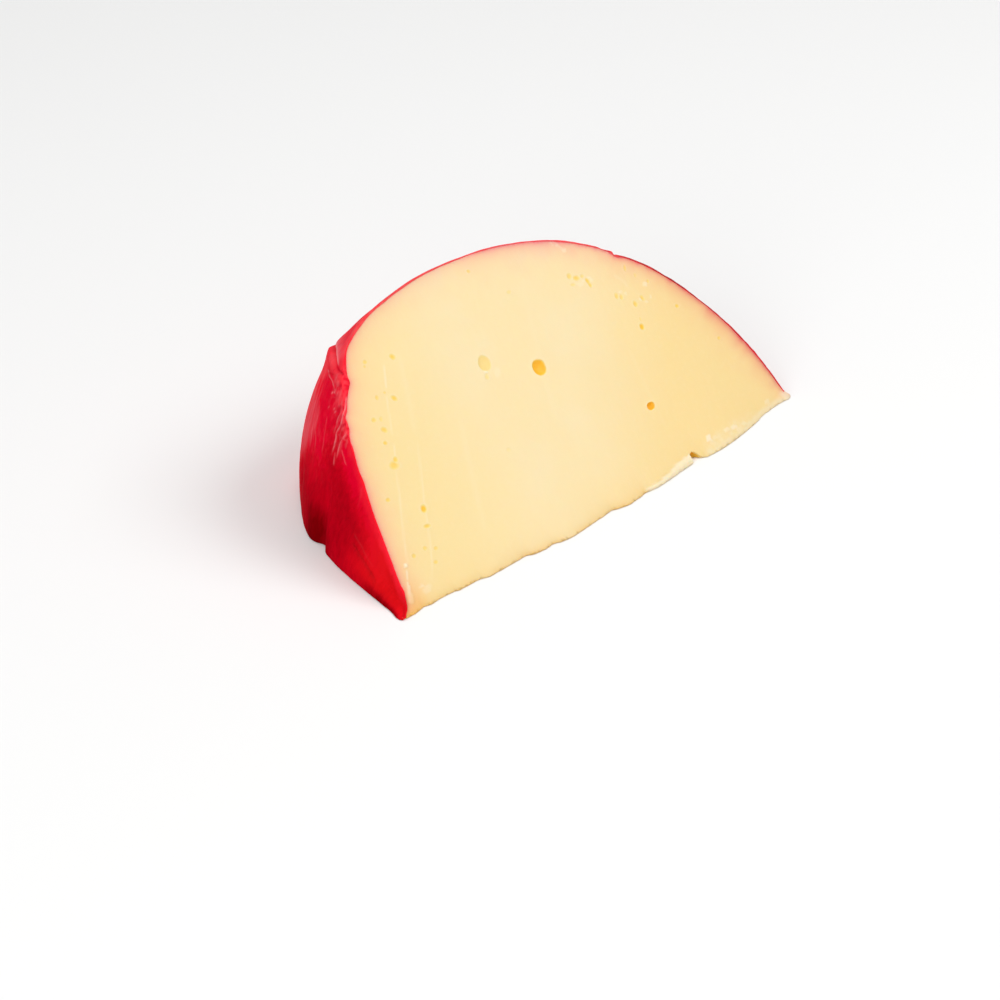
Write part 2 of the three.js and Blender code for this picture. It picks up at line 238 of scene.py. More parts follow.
def skin_relief(u, a):
    """outward relief of the wax in mm, its whitened creases with painted highlights, and the shade painted into its
    grooves
    """
    u, a = np.broadcast_arrays(np.asarray(u, float), np.asarray(a, float))
    s, t = outline(u)
    v = t * a
    y, z = t * np.cos(a), t * np.sin(a)
    back = (PSI - a) * t                                   # distance from the leaning face
    left = 1 - smooth(CROWN_S - 42, CROWN_S - 20, s)
    d = curve(RIM_OUT, u) * bell(back, 18)
    # fold at the shoulder: the upper sheet ends in a painted highlight along its edge, with painted shade in the groove
    # beside it, and the lower one swells up from under it
    x, dist, share = fold_place(u, v)
    grow = smooth(0.0, 0.2, share) * (1 - 0.72 * smooth(0.42, 0.92, share))
    soft = 1.3 * (1 - smooth(0.12, 0.46, share))
    lower, upper = smooth(0.25 - soft, 2.4 + soft, x), 1 - smooth(-0.10 - soft, 0.35 + soft, x)
    d = d + left * grow * (2.6 * lower * bell(dist, 5.4 + 0.7 * (1 - smooth(0.5, 0.75, share))) + 1.15 * upper * bell(dist, 4.2))
    groove = left * smooth(0.16, 0.32, share) * (1 - 0.5 * smooth(0.9, 1.0, share))
    wide = 1 + 2.6 * (1 - smooth(0.12, 0.46, share))
    d = d - 0.30 * groove * (1 - 0.7 * smooth(0.74, 0.86, share)) * bell((x - 0.45) / wide, 0.45)
    dark = groove * bell((x - 0.50) / wide, 0.42) / wide * (0.15 - 0.10 * smooth(0.74, 0.86, share))
    whitening_glint = 0.80 * left * bell((x + 0.50) / wide, 0.48) / wide * smooth(0.18, 0.34, share) * (1 - 0.35 * smooth(0.55, 0.70, share)) * (1 - smooth(0.80, 0.88, share))
    wave_u, wave_v = 0.12 * noise3(u / 1.6, v / 3.0, 0.4, 106), 0.30 * noise3(u / 1.6, v / 3.0, 5.4, 107)
    for line, h, w, wh in CREASES:
        dist, share, side = along(u + wave_u, v + wave_v, line)
        taper = smooth(0, 0.15, share) * (1 - smooth(0.75, 1.0, share))
        jig = 1 + 0.5 * noise3(u / 2.5, v / 2.5, 7.0, 5)
        d = d + h * bell(dist, w) * taper * jig
        whitening_glint = np.maximum(whitening_glint, 0.8 * wh * bell(dist, 0.26) * taper * np.clip(0.82 + 0.50 * noise3(u / 1.5, v / 1.5, 3.0, 9), 0, 1))
        # painted shade in the narrow grooves
        if -1 < h < 0 and w < 1.5:
            dark = np.maximum(dark, min(0.28, -1.0 * h) * bell(dist, 0.8 * w) * taper)
    for du, da, w, k in DENTS:
        far = np.hypot(u - du, v - float(outline(du)[1]) * math.radians(da))
        d = d - k * bell(far, w) * (1 - bell(back, 6))
    # crumpled wax beside the cut, below the fold
    q1, q2 = -0.44 * u - 0.90 * v, 0.90 * u - 0.44 * v
    crumple = smooth(42, 50, u) * (1 - smooth(64, 68, u)) * bell(back, 9) * smooth(0.2, 1.2, back)
    ridge = 1 - 2.2 * np.abs(noise3(q1 / 10.0, q2 / 1.5, 0.5, 31))
    d = d + crumple * (0.09 * ridge + 0.045 * noise3(q1 / 1.5, q2 / 0.8, 0.9, 33))
    patch = noise3(q1 / 5.0, q2 / 1.2, 0.2, 35) + 0.5 * noise3(q1 / 2.4, q2 / 0.7, 0.2, 36)
    scratch = noise3(q1 / 5.5, q2 / 0.5, 0.7, 37)
    short = noise3(q1 / 2.6, q2 / 0.55, 1.7, 141)
    whitening_glint = np.maximum(whitening_glint, crumple * bell(back, 5.5) * (0.16 * smooth(0.80, 1.0, ridge) + 0.12 * smooth(0.1, 0.7, patch) + 0.22 * smooth(0.35, 0.8, scratch) + 0.20 * smooth(0.30, 0.75, short)))
    dark = np.maximum(dark, crumple * (0.14 * smooth(0.15, 0.8, -patch) + 0.12 * smooth(0.30, 0.75, -short)))
    # a few painted glints in it
    for su, sa, k in ((62.6, 41.3, 0.55), (62.1, 42.7, 0.60), (57.9, 41.5, 0.30), (56.9, 41.8, 0.32), (59.9, 38.5, 0.18)):
        whitening_glint = np.maximum(whitening_glint, k * bell(u - su, 0.28) * bell(v - float(outline(su)[1]) * math.radians(sa), 0.60))
    x3 = (s, y, z)
    free = 1 - bell(back, 9)
    d = d + smooth(6, 34, t) * free * (0.14 + 0.28 * smooth(84, 110, u)) * fbm(*[c / 26 for c in x3], octaves=2, seed=3)
    d = d + smooth(2, 16, t) * (1 - 0.85 * bell(back, 4)) * 0.15 * fbm(*[c / 7.5 for c in x3], octaves=2, seed=11)
    d = d + smooth(2, 10, t) * (1 - 0.6 * bell(back, 1.5)) * 0.035 * fbm(*[c / 1.9 for c in x3], octaves=2, seed=23)
    # uneven line of the rim along the round side
    d = d + (0.3 * smooth(104, 120, u) + 0.7 * smooth(150, 170, u)) * bell(back, 2.5) * (0.10 * noise3(u / 3.4, 0.0, 0.0, 131) + 0.06 * noise3(u / 1.5, 0.0, 0.0, 132))
    # nick in the rim of the leaning face
    nick = smooth(-0.55, 0.15, u - NICK_U) * np.exp(-np.maximum(u - NICK_U, 0) / 1.7)
    d = d - 0.85 * nick * np.exp(-np.maximum(back, 0) / 5)
    return d, whitening_glint, dark


def plain_relief(u, a):
    """the slow part of the relief alone, for what lies under the wax"""
    u, a = np.broadcast_arrays(np.asarray(u, float), np.asarray(a, float))
    s, t = outline(u)
    back = (PSI - a) * t
    y, z = t * np.cos(a), t * np.sin(a)
    d = curve(RIM_OUT, u) * bell(back, 18)
    return d + smooth(6, 34, t) * (1 - bell(back, 9)) * (0.14 + 0.28 * smooth(84, 110, u)) * fbm(s / 26, y / 26, z / 26, octaves=2, seed=3)


def skin_point(u, a, inset=None):
    """point of the skin; with an inset, of the plain surface that far under it"""
    u, a = np.broadcast_arrays(np.asarray(u, float), np.asarray(a, float))
    s, t = outline(u)
    ns, nt = outline_normal(u)
    if inset is None:
        d = skin_relief(u, a)[0] * smooth(0, 2.0, t)
    else:
        d = plain_relief(u, a) * smooth(0, 2.0, t) - np.minimum(inset, 0.45 * t)
    r = np.maximum(t + nt * d, 0.02 * np.minimum(t, 1))
    f = flare(t, a, s, t * np.cos(a), t * np.sin(a)) * smooth(0, 0.8, t)
    return np.stack([s + ns * d - f, r * np.cos(a), r * np.sin(a)], -1)


# -------------------------------------------------------- the leaning cut face
WAX_LINE = [(0, -1.6), (1.2, -1.05), (1.7, -0.6), (2.7, -0.15), (3.5, 0.05), (4.8, 0.3), (6.2, 0.72), (8, 0.48), (16, 0.50),
            (20, 0.53), (26, 0.46), (30, 0.48), (33, 0.6), (35.5, 0.7), (37.1, 0.56), (38.8, 0.28), (42, 0.23), (45.2, 0.28),
            (46.8, 0.03), (48.4, 0.0), (50.1, 0.36), (51.7, 0.2), (53.3, -0.17), (54.9, 0.46), (56.5, 0.73), (58.3, 0.93),
            (60, 1.2), (61.7, 1.58), (63.3, 1.82), (65, 1.1), (66.6, 0.7), (68.3, 0.4), (70, 0.1), (71.6, -0.07),
            (73.4, -0.03), (75.9, 0.35), (80.7, 0.85), (84.7, 1.1), (88.6, 1.22), (92, 1.32), (95.5, 1.15), (98.7, 1.05),
            (102, 0.75), (105.2, 0.52), (108.3, 0.38), (111, 0.38), (114, 0.38), (117, 0.45), (120, 0.55), (126, 0.6),
            (131, 0.64), (145, 0.68), (156, 0.52), (166, 0.52), (172, 0.6), (174.5, 1.3), (177, 0.7), (182, 0.42),
            (190, 0.50), (199, 0.55), (205, 0.55), (215, 0.55), (229, 0.5), (236, 0.45), (LENGTH, 0.3)]
WAX_END = LENGTH - 2.2                        # the wax stops short of the blunt tip


def wax_line(u):
    """where the wax ends on the leaning face, mm inside the plain outline"""
    return curve(WAX_LINE, u) + (0.05 * noise3(u / 3.0, 0.5, 0.5, 41) + 0.04 * noise3(u / 1.2, 0.5, 2.5, 43)) * smooth(3, 8, u)


# front bottom edge: how far it stands forward of the straight axis, first the slow
# bow that carries on up the face, then the ragged line of the edge itself
BOW = [(-77.4, 0), (-70, 0.05), (-60, 0.7), (-50, 1.6), (-40, 2.5), (-30, 3.5), (-20, 4.5),
       (-10, 4.55), (0, 4.75), (10, 4.85), (20, 4.7), (30, 4.5), (38, 4.75), (44, 4.5),
       (50, 3.85), (57, 2.6), (62.4, 1.4), (68.4, 0.6), (75.6, 0)]
EDGE = [(-77.4, 0.1), (-75.6, 0.25), (-74.4, 0.25), (-72.7, 0.29), (-71.0, 0.0), (-69.4, -0.34), (-68.0, 0.1), (-66.9, 0.30),
        (-63.5, 0.13), (-60.5, 0.35), (-58.9, 0.49), (-58.0, 0.99), (-56.0, 1.02), (-53.9, 1.06),
        (-50.5, 1.32), (-49.2, 1.75), (-48.1, 2.20), (-44.0, 2.28), (-40.3, 2.35), (-37.0, 2.30),
        (-34.6, 2.34), (-33.4, 3.11), (-29.9, 3.81), (-26.3, 3.66), (-25.0, 4.0), (-23.9, 4.51),
        (-20.5, 5.02), (-15.7, 4.70), (-8.2, 4.27), (-5.0, 3.95), (-3.6, 3.84), (-2.7, 4.2), (-1.8, 4.55),
        (1.7, 5.29), (5.5, 5.04), (9.0, 4.58), (11.4, 4.96), (17.5, 4.89), (23.6, 4.35), (29.0, 4.0),
        (33.4, 4.0), (34.4, 4.53), (40.7, 4.76), (49.1, 4.0), (57.0, 2.65), (62.4, 1.37),
        (68.4, 0.68), (71.5, 0.72), (73.2, 0.95), (74.6, 0.6), (75.6, 0.0)]


def bow(s):
    return curve(BOW, s)


def edge_rag(s):
    s = np.asarray(s, float)
    r = curve(EDGE, s) - bow(s) + 0.09 * noise3(s / 1.9, 1.1, 0.7, 62) + 0.05 * noise3(s / 0.8, 9.1, 0.7, 63)
    return r * smooth(END_A, END_A + 3, s)


def chip(s, t):
    """piece broken out of the edge: steep on its left, running out to the right"""
    deep = smooth(29.0, 29.7, s) * (1 - smooth(30.9, 33.6, s))
    roof = 0.5 + 2.6 * (1 - smooth(30.6, 33.4, s)) + 0.25 * noise3(s / 0.9, 2.0, 4.0, 66)
    return 2.5 * deep * (1 - smooth(0.45 * roof, roof, t))


# eyes: place along the edge, place up the face, half sizes, turn (deg), depth, deepness of colour
EYES = [(s, t, ra * (1.25 if ra < 1.2 else 1), rb * (1.25 if ra < 1.2 else 1), turn, depth, min(1.0, deep * (1.05 if ra < 1.2 else 1)))
        for s, t, ra, rb, turn, depth, deep in [
    (0.8, 40.8, 2.30, 2.15, 60, 1.15, 0.90),
    (-14.4, 48.3, 2.25, 1.95, 60, 0.40, 0.34),
    (27.0, 18.4, 1.45, 1.08, 5, 1.15, 1.0),
    (39.5, 37.4, 0.85, 0.75, 40, 0.55, 0.85),
    (26.4, 58.3, 0.85, 0.75, 20, 0.28, 0.42),
    (28.3, 57.0, 1.05, 0.70, -20, 0.30, 0.50),
    (26.0, 55.8, 0.80, 0.45, -15, 0.2, 0.24),
    (30.4, 56.7, 0.65, 0.50, 0, 0.22, 0.32),
    (31.2, 54.9, 0.85, 0.60, 95, 0.3, 0.54),
    (31.3, 53.7, 0.80, 0.52, 95, 0.3, 0.46),
    (37.5, 47.8, 0.85, 0.62, 60, 0.28, 0.42),
    (38.8, 46.9, 0.72, 0.60, 60, 0.26, 0.40),
    (41.9, 43.5, 0.85, 0.70, 60, 0.32, 0.50),
    (45.3, 44.0, 0.82, 0.55, 100, 0.32, 0.46),
    (55.0, 37.5, 0.60, 0.55, 0, 0.32, 0.55),
    (62.6, 24.1, 0.60, 0.45, 10, 0.26, 0.40),
    (50.4, 47.2, 0.58, 0.46, 60, 0.2, 0.32),
    (47.4, 50.3, 0.58, 0.42, 60, 0.15, 0.20),
    (45.5, 53.3, 0.92, 0.42, 60, 0.2, 0.34),
    (40.6, 39.4, 0.55, 0.35, 60, 0.15, 0.18),
    (5.3, 61.8, 0.75, 0.55, 0, 0.18, 0.20),
    (-22.5, 26.0, 0.75, 0.60, 0, 0.18, 0.10),
    (-3.1, 71.4, 0.55, 0.50, 0, 0.25, 0.38),
    (-47.5, 62.1, 0.60, 0.55, 0, 0.28, 0.40),
    (-48.3, 61.1, 0.40, 0.35, 0, 0.2, 0.30),
    (-39.1, 60.2, 0.88, 0.68, -50, 0.32, 0.55),
    (-49.9, 52.6, 0.65, 0.52, 60, 0.26, 0.37),
    (-47.0, 52.9, 0.40, 0.35, 0, 0.22, 0.30),
    (-45.3, 50.6, 0.88, 0.66, -50, 0.32, 0.55),
    (-54.3, 47.9, 0.70, 0.58, 0, 0.28, 0.42),
    (-52.2, 47.3, 0.70, 0.50, 60, 0.2, 0.25),
    (-53.0, 44.5, 0.92, 0.70, -40, 0.32, 0.50),
    (-54.8, 41.4, 0.60, 0.50, 0, 0.30, 0.52),
    (-54.7, 36.5, 0.75, 0.65, 50, 0.35, 0.52),
    (-55.95, 35.35, 1.60, 1.28, -10, 0.36, 0.50),
    (-16.0, 44.9, 0.80, 0.65, 60, 0.2, 0.24),
    (-62.9, 28.3, 0.65, 0.55, 0, 0.28, 0.48),
    (-54.8, 22.3, 0.95, 0.80, 60, 0.55, 0.80),
    (-56.6, 18.0, 0.90, 0.50, -10, 0.32, 0.52),
    (-60.5, 13.3, 0.60, 0.55, 0, 0.26, 0.36),
    (-57.7, 12.1, 0.60, 0.50, 0, 0.26, 0.36),
    (-64.6, 12.8, 0.60, 0.55, 0, 0.28, 0.42),
    (-59.8, 9.0, 0.60, 0.50, 0, 0.26, 0.40),
]]

# long drag marks of the cut: polyline on the face, relief, half width, paleness
DRAGS = [
    ([(-42.6, 60.0), (-43.2, 58.6), (-45.0, 55.4), (-46.2, 53.2)], 0.04, 0.20, 0.55),
    ([(-46.4, 52.9), (-48.5, 49.0), (-49.9, 46.1), (-52.0, 41.5)], 0.03, 0.22, 0.30),
    ([(-52.4, 40.6), (-54.6, 36.6), (-56.2, 33.6)], 0.03, 0.22, 0.35),
    ([(-45.0, 40.0), (-46.3, 37.3), (-53.4, 24.2), (-58.0, 14.6), (-60.5, 9.9), (-64.9, 3.4)], 0.03, 0.24, 0.28),
    ([(-55.4, 36.0), (-56.1, 34.1), (-59.7, 26.9), (-64.8, 17.5), (-67.5, 11.5), (-68.6, 9.5)], 0.03, 0.24, 0.30),
    ([(-36.0, 62.0), (-41.0, 50.0), (-46.0, 38.5)], 0.02, 0.6, 0.13),
    ([(-30.0, 40.0), (-36.0, 26.0), (-43.0, 8.0)], 0.02, 0.7, 0.12),
    ([(31.5, 36.0), (29.5, 24.0), (27.2, 10.0)], 0.01, 0.5, 0.07),
    ([(12.0, 66.0), (4.0, 46.0), (-5.0, 22.0)], 0.015, 0.8, 0.08),
    ([(27.8, 68.6), (28.7, 66.6), (29.6, 64.9)], 0.04, 0.30, 0.34),
    ([(26.6, 69.0), (27.2, 67.4)], 0.04, 0.26, 0.26),
    ([(40.6, 53.5), (42.6, 50.2), (43.0, 48.0)], 0.03, 0.35, 0.22),
]

# torn bits of paste: place, half sizes, turn (deg), relief, paleness
FLAKES = [
    (-68.3, 11.6, 0.85, 0.45, 20, 0.26, 1.0),
    (-69.3, 9.2, 1.5, 0.35, 62, 0.12, 0.65),
    (-70.9, 6.2, 1.9, 0.45, 62, 0.14, 0.75),
    (-71.8, 3.7, 1.5, 0.85, 55, 0.30, 0.62),
    (-65.9, 4.0, 1.9, 1.0, 15, 0.06, 0.36),
    (-66.9, 5.3, 0.9, 0.35, 10, 0.10, 0.5),
    (38.0, 4.2, 1.05, 0.75, 30, 0.22, 0.95),
    (38.6, 3.2, 0.6, 0.4, -20, 0.16, 0.7),
    (40.4, 3.4, 1.1, 0.5, -10, 0.10, 0.45),
    (45.6, 3.3, 1.2, 0.55, -5, 0.14, 0.6),
    (48.8, 2.7, 1.6, 0.55, -12, 0.16, 0.8),
    (53.0, 1.8, 1.3, 0.45, -15, 0.12, 0.6),
    (66.0, 2.4, 1.2, 0.8, -10, 0.08, 0.4),
    (29.5, 65.1, 0.85, 0.70, 20, 0.04, 0.50),
    (28.4, 67.2, 0.60, 0.45, -30, 0.04, 0.48),
    (27.6, 68.7, 0.50, 0.40, 0, 0.04, 0.42),
    # white crumbs beside the eyes; the first two are painted highlights on the shallow eye's wet hollow and its rim
    (-15.4, 46.3, 0.62, 0.55, 0, 0.10, 1.0),
    (-12.3, 44.6, 1.5, 1.1, 40, 0.02, 0.28),
    (29.9, 55.4, 0.55, 0.40, 10, 0.06, 0.55),
    (32.3, 55.7, 0.60, 0.35, -30, 0.06, 0.60),
    (28.6, 55.0, 1.5, 0.65, -15, 0.04, 0.38),
    (32.6, 54.6, 0.6, 0.45, 60, 0.04, 0.45),
    (44.3, 43.9, 0.60, 0.40, 20, 0.06, 0.60),
    (46.0, 42.6, 0.50, 0.40, 0, 0.05, 0.50),
    (39.4, 48.2, 0.60, 0.35, -20, 0.05, 0.50),
    (48.9, 46.9, 0.75, 0.60, 0, 0.06, 0.65),
    (48.2, 43.2, 0.50, 0.40, 30, 0.04, 0.45),
    (41.0, 47.2, 0.50, 0.35, 0, 0.04, 0.40),
]


def face_relief(s, t, top):
    """relief of the leaning face along its own normal (mm), plus colour masks"""
    s, t = np.asarray(s, float), np.asarray(t, float)
    h = 0.10 * fbm(s / 22, t / 22, 0.3, 2, 71) + 0.030 * fbm(s / 6, t / 9, 0.3, 2, 72)
    # fine drag of the cut, mostly across its direction
    q = s * 0.90 - t * 0.42
    r = s * 0.42 + t * 0.90
    h = h + 0.012 * noise3(q / 0.9, r / 26, 0.1, 73) + 0.010 * noise3(q / 2.6, r / 40, 0.6, 74)
    pale_and_glint = np.zeros_like(s)
    for line, k, w, p in DRAGS:
        dist, share, side = along(s, t, line)
        taper = smooth(0, 0.2, share) * (1 - smooth(0.8, 1.0, share))
        h = h + k * bell(dist, w) * taper
        pale_and_glint = np.maximum(pale_and_glint, p * bell(dist, w * 1.3) * taper)
    # torn, flaky paste by the waxed corner and along the right of the edge
    for fs, ft, ra, rb, turn, k, p in FLAKES:
        c, sn = math.cos(math.radians(turn)), math.sin(math.radians(turn))
        ex, ey = ((s - fs) * c + (t - ft) * sn) / ra, (-(s - fs) * sn + (t - ft) * c) / rb
        rho = np.hypot(ex, ey) + 0.30 * noise3(s / 0.7, t / 0.7, 0.4, 75)
        on = 1 - smooth(0.75, 1.1, rho)
        h = h + k * on * (0.8 + 0.4 * noise3(s / 0.5, t / 0.5, 1.4, 76))
        pale_and_glint = np.maximum(pale_and_glint, p * on)
    band = smooth(34.5, 37.0, s) * (1 - smooth(52.0, 60.0, s)) * (1 - smooth(2.2, 5.2, t + 0.8 * noise3(s / 2, t / 2, 1, 5)))
    flake = noise3(s / 1.6, t / 0.9, 0.4, 77) + 0.5 * noise3(s / 0.7, t / 0.5, 0.9, 78)
    h = h + 0.06 * band * flake
    pale_and_glint = np.maximum(pale_and_glint, band * np.clip(0.30 + 0.25 * flake, 0, 1))
    # pressed-out lip along the front edge, with a clear upper break
    lip = smooth(8.6, 10.5, s) * (1 - smooth(29.2, 29.6, s))
    lip_h = curve([(8, 0.9), (10.5, 1.25), (15.4, 1.3), (20.1, 1.9), (24.9, 2.5), (30.5, 3.1)], s) + 0.12 * noise3(s / 2.2, 4, 4, 79)
    q = np.clip(t / lip_h, 0, 1)
    inside = 1 - smooth(lip_h - 0.25, lip_h + 0.05, t)
    h = h + lip * (inside * (0.10 + 0.34 * np.sqrt(np.clip(1 - (2 * q - 1) ** 2, 0, 1))) - 0.06 * bell(t - lip_h - 0.2, 0.25))
    pale_and_glint = np.maximum(pale_and_glint, 0.9 * lip * inside)
    low = (1 - smooth(0.4, 1.3, t)) * smooth(END_A + 6, END_A + 14, s)
    pale_and_glint = np.maximum(pale_and_glint, 0.12 * low)
    worn = smooth(33.5, 36.5, s) * (1 - smooth(71, 74, s))
    pale_and_glint = np.maximum(pale_and_glint, 0.60 * worn * (1 - smooth(0.8, 2.3, t + 0.4 * noise3(s / 1.7, t / 1.2, 3.0, 80))))
    pale_and_glint = np.maximum(pale_and_glint, 0.75 * smooth(70.5, 73.4, s) * (1 - smooth(1.6, 3.2, t)))
    # rounding of the front edge
    h = h - 0.16 * np.exp(-t / 0.35)
    return h, pale_and_glint


def top_of(s):
    return np.interp(s, _s, _t)


def face_point(s, t, h):
    top = np.maximum(top_of(s), 1e-3)
    f = np.clip(t / top, 0, 1)
    b = bow(s) * smooth(0, 4, top) * (1 - f) ** 1.7
    rag = edge_rag(s) * np.exp(-t / 2.2) - chip(s, t)
    y = t * CP - b - rag - h * SP
    z = t * SP + h * CP
    return np.stack([s, y, np.maximum(z, 0)], -1)


# -------------------------------------------------------------- mesh assembling
def new_object(name, verts_mm, faces, smooth_shade=True):
    me = bpy.data.meshes.new(name)
    v = (np.asarray(verts_mm, float) + SHIFT) * MM
    me.from_pydata(v.tolist(), [], faces)
    me.validate()
    # all faces look outward
    bm = bmesh.new()
    bm.from_mesh(me)
    bmesh.ops.recalc_face_normals(bm, faces=bm.faces)
    bm.to_mesh(me)
    bm.free()
    me.update()
    if smooth_shade:
        me.polygons.foreach_set("use_smooth", np.ones(len(me.polygons), bool))
    ob = bpy.data.objects.new(name, me)
    bpy.context.scene.collection.objects.link(ob)
    return ob


def point_attr(ob, name, values):
    a = ob.data.attributes.new(name, "FLOAT", "POINT")
    a.data.foreach_set("value", np.asarray(values, np.float32))


def grid_faces(index, flip=False):
    a, b = index[:-1, :-1].ravel(), index[1:, :-1].ravel()
    c, d = index[1:, 1:].ravel(), index[:-1, 1:].ravel()
    quads = np.stack([a, d, c, b] if flip else [a, b, c, d], 1)
    return [tuple(q) for q in quads.tolist()]


# ------------------------------------------------------------------- wax shell
def build_wax():
    u = np.r_[0.06, 0.15, np.arange(0.3, 8, 0.3), np.arange(8, 44, 0.5), np.arange(44, 62, 0.26), np.arange(62, 82, 0.17),
              np.arange(82, 92, 0.3), np.linspace(92, 168, 96), np.linspace(168.6, 180, 28), np.linspace(180.7, WAX_END - 0.5, 84),
              WAX_END - 0.2, WAX_END]
    # rows closer towards the leaning face
    a = np.r_[np.linspace(0, 27, 46)[:-1], np.linspace(27, 34, 25)[:-1], np.linspace(34, 46.4, 70)[:-1], np.linspace(46.4, 47, 7)]
    a = np.radians(a)
    U, A = np.meshgrid(u, a, indexing="ij")
    outer = skin_point(U, A)
    _, whitening_glint, dark = skin_relief(U, A)
    # edge of the wax on the leaning face: over the corner, along the face, down
    s, t = outline(u)
    s0 = np.interp(u, _run, _s0)
    ns, nt = outline_normal(u)
    w = wax_line(u)
    rim = outer[:, -1]                                       # on the face plane
    rim_s, rim_t = rim[:, 0], np.hypot(rim[:, 1], rim[:, 2])
    end_s, end_t = s0 - ns * w, np.maximum(t - nt * w, 0.02)
    gap = np.hypot(end_s - rim_s, end_t - rim_t)
    thin = np.clip(gap / 0.45, 0.25, 1.0) * (1 + 2.6 * bell(u, 5.0) + 0.9 * bell(u - 63.0, 2.0))
    strip = []
    for k, (f, lift) in enumerate([(0.10, 0.10), (0.30, 0.16), (0.62, 0.15), (0.90, 0.09), (1.0, 0.02), (1.0, -0.35)]):
        ss, tt = rim_s + (end_s - rim_s) * f, rim_t + (end_t - rim_t) * f
        up = lift * (thin if lift > 0 else 1) + 0.04 * noise3(u / 1.1, k * 0.7, 0.2, 91) * (f < 1) * smooth(2, 6, u)
        up = up * np.minimum(1, tt / 0.6)
        strip.append(face_point(ss, tt, up))
    strip = np.stack(strip, 1)
    # inner side, coarser
    ai = np.linspace(PSI - 0.006, 0.004, 22)
    UI, AI = np.meshgrid(u, ai, indexing="ij")
    deep = WAX * (0.12 + 1.6 * smooth(0, 6, WAX_END - UI))
    inner = skin_point(UI, AI, inset=deep)
    inner[:, -1, 2] = 0.0
    outer[:, 0, 2] = 0.0
    loops = np.concatenate([outer, strip, inner], 1)          # (columns, ring, 3)
    n, m = loops.shape[:2]
    index = np.arange(n * m).reshape(n, m)
    ring = np.concatenate([index, index[:, :1]], 1)
    faces = grid_faces(ring, flip=True)
    faces.append(tuple(index[0][::-1].tolist()))
    faces.append(tuple(index[-1].tolist()))
    ob = new_object("cheese_wax", loops.reshape(-1, 3), faces)

    def field(name, skin, edge, inside=0.0):
        edge = np.broadcast_to(edge, strip.shape[:2])
        point_attr(ob, name, np.concatenate([skin, edge, np.full(inner.shape[:2], inside)], 1).ravel())

    back = (PSI - A) * outline(U)[1]
    deg = np.degrees(A)
    over = np.array([0.10, 0.30, 0.62, 0.90, 1.0, 1.0])
    # painted highlight along the crest of one crease, which runs on over the corner
    crest = curve([(54.7, 0.0), (55.8, 0.25), (57.0, 0.48), (58.5, 0.69), (60.0, 0.85)], u)[:, None]
    field("crease_whitening_glint", whitening_glint, 0.55 * (smooth(53.6, 55.0, u) * (1 - smooth(58.0, 59.6, u)))[:, None] * bell(over - crest, 0.22))
    field("rim_mm", back, 0.0, 9.0)
    # depth of the red, with painted light and shade: lighter up at the shoulder, painted shade low on the flattened end
    # and along the foot where it rests
    red_tone_and_shade = 0.50 + 0.22 * smooth(42, 60, U) * (1 - smooth(96, 120, U))
    red_tone_and_shade = red_tone_and_shade + 0.16 * smooth(66, 72, U) * (1 - smooth(88, 100, U))
    red_tone_and_shade = red_tone_and_shade - 0.36 * (1 - smooth(7, 28, deg)) * smooth(36, 48, U) * (1 - smooth(58, 74, U))
    red_tone_and_shade = red_tone_and_shade - 0.14 * smooth(18, 28, U) * (1 - smooth(44, 54, U)) * (1 - smooth(24, 42, deg))
    red_tone_and_shade = red_tone_and_shade - 0.20 * (1 - smooth(14, 26, U)) * (1 - smooth(3, 12, deg)) * smooth(0.5, 3, U)
    red_tone_and_shade = red_tone_and_shade + 0.07 * smooth(36, 44, U) * (1 - smooth(52, 60, U)) * smooth(10, 16, deg) * (1 - smooth(26, 34, deg))
    red_tone_and_shade = red_tone_and_shade + 0.20 * smooth(10, 18, U) * (1 - smooth(44, 50, U)) * (1 - smooth(3, 11, back))
    level = U + 0.8 * deg
    red_tone_and_shade = red_tone_and_shade - 0.07 * smooth(59, 64, level) * (1 - smooth(72, 78, level)) * smooth(10, 14, deg) * (1 - smooth(30, 36, deg))
    red_tone_and_shade = red_tone_and_shade + 0.05 * bell(level - 57, 3.5) * smooth(9, 12, deg) * (1 - smooth(18, 22, deg))
    red_tone_and_shade = red_tone_and_shade - 0.12 * (1 - smooth(8, 16, deg)) * (1 - smooth(10, 18, U))
    red_tone_and_shade = red_tone_and_shade - 0.15 * (1 - smooth(6, 14, deg)) * smooth(33, 39, U) * (1 - smooth(42, 51, U))
    red_tone_and_shade = red_tone_and_shade - 0.06 * smooth(52, 58, U) * (1 - smooth(66, 72, U)) * (1 - smooth(9, 14, deg))
    red_tone_and_shade = red_tone_and_shade - 0.11 * (1 - smooth(5, 10, deg)) * (1 - smooth(16, 22, U))
    field("red_tone_and_shade", red_tone_and_shade, 0.6, 0.5)
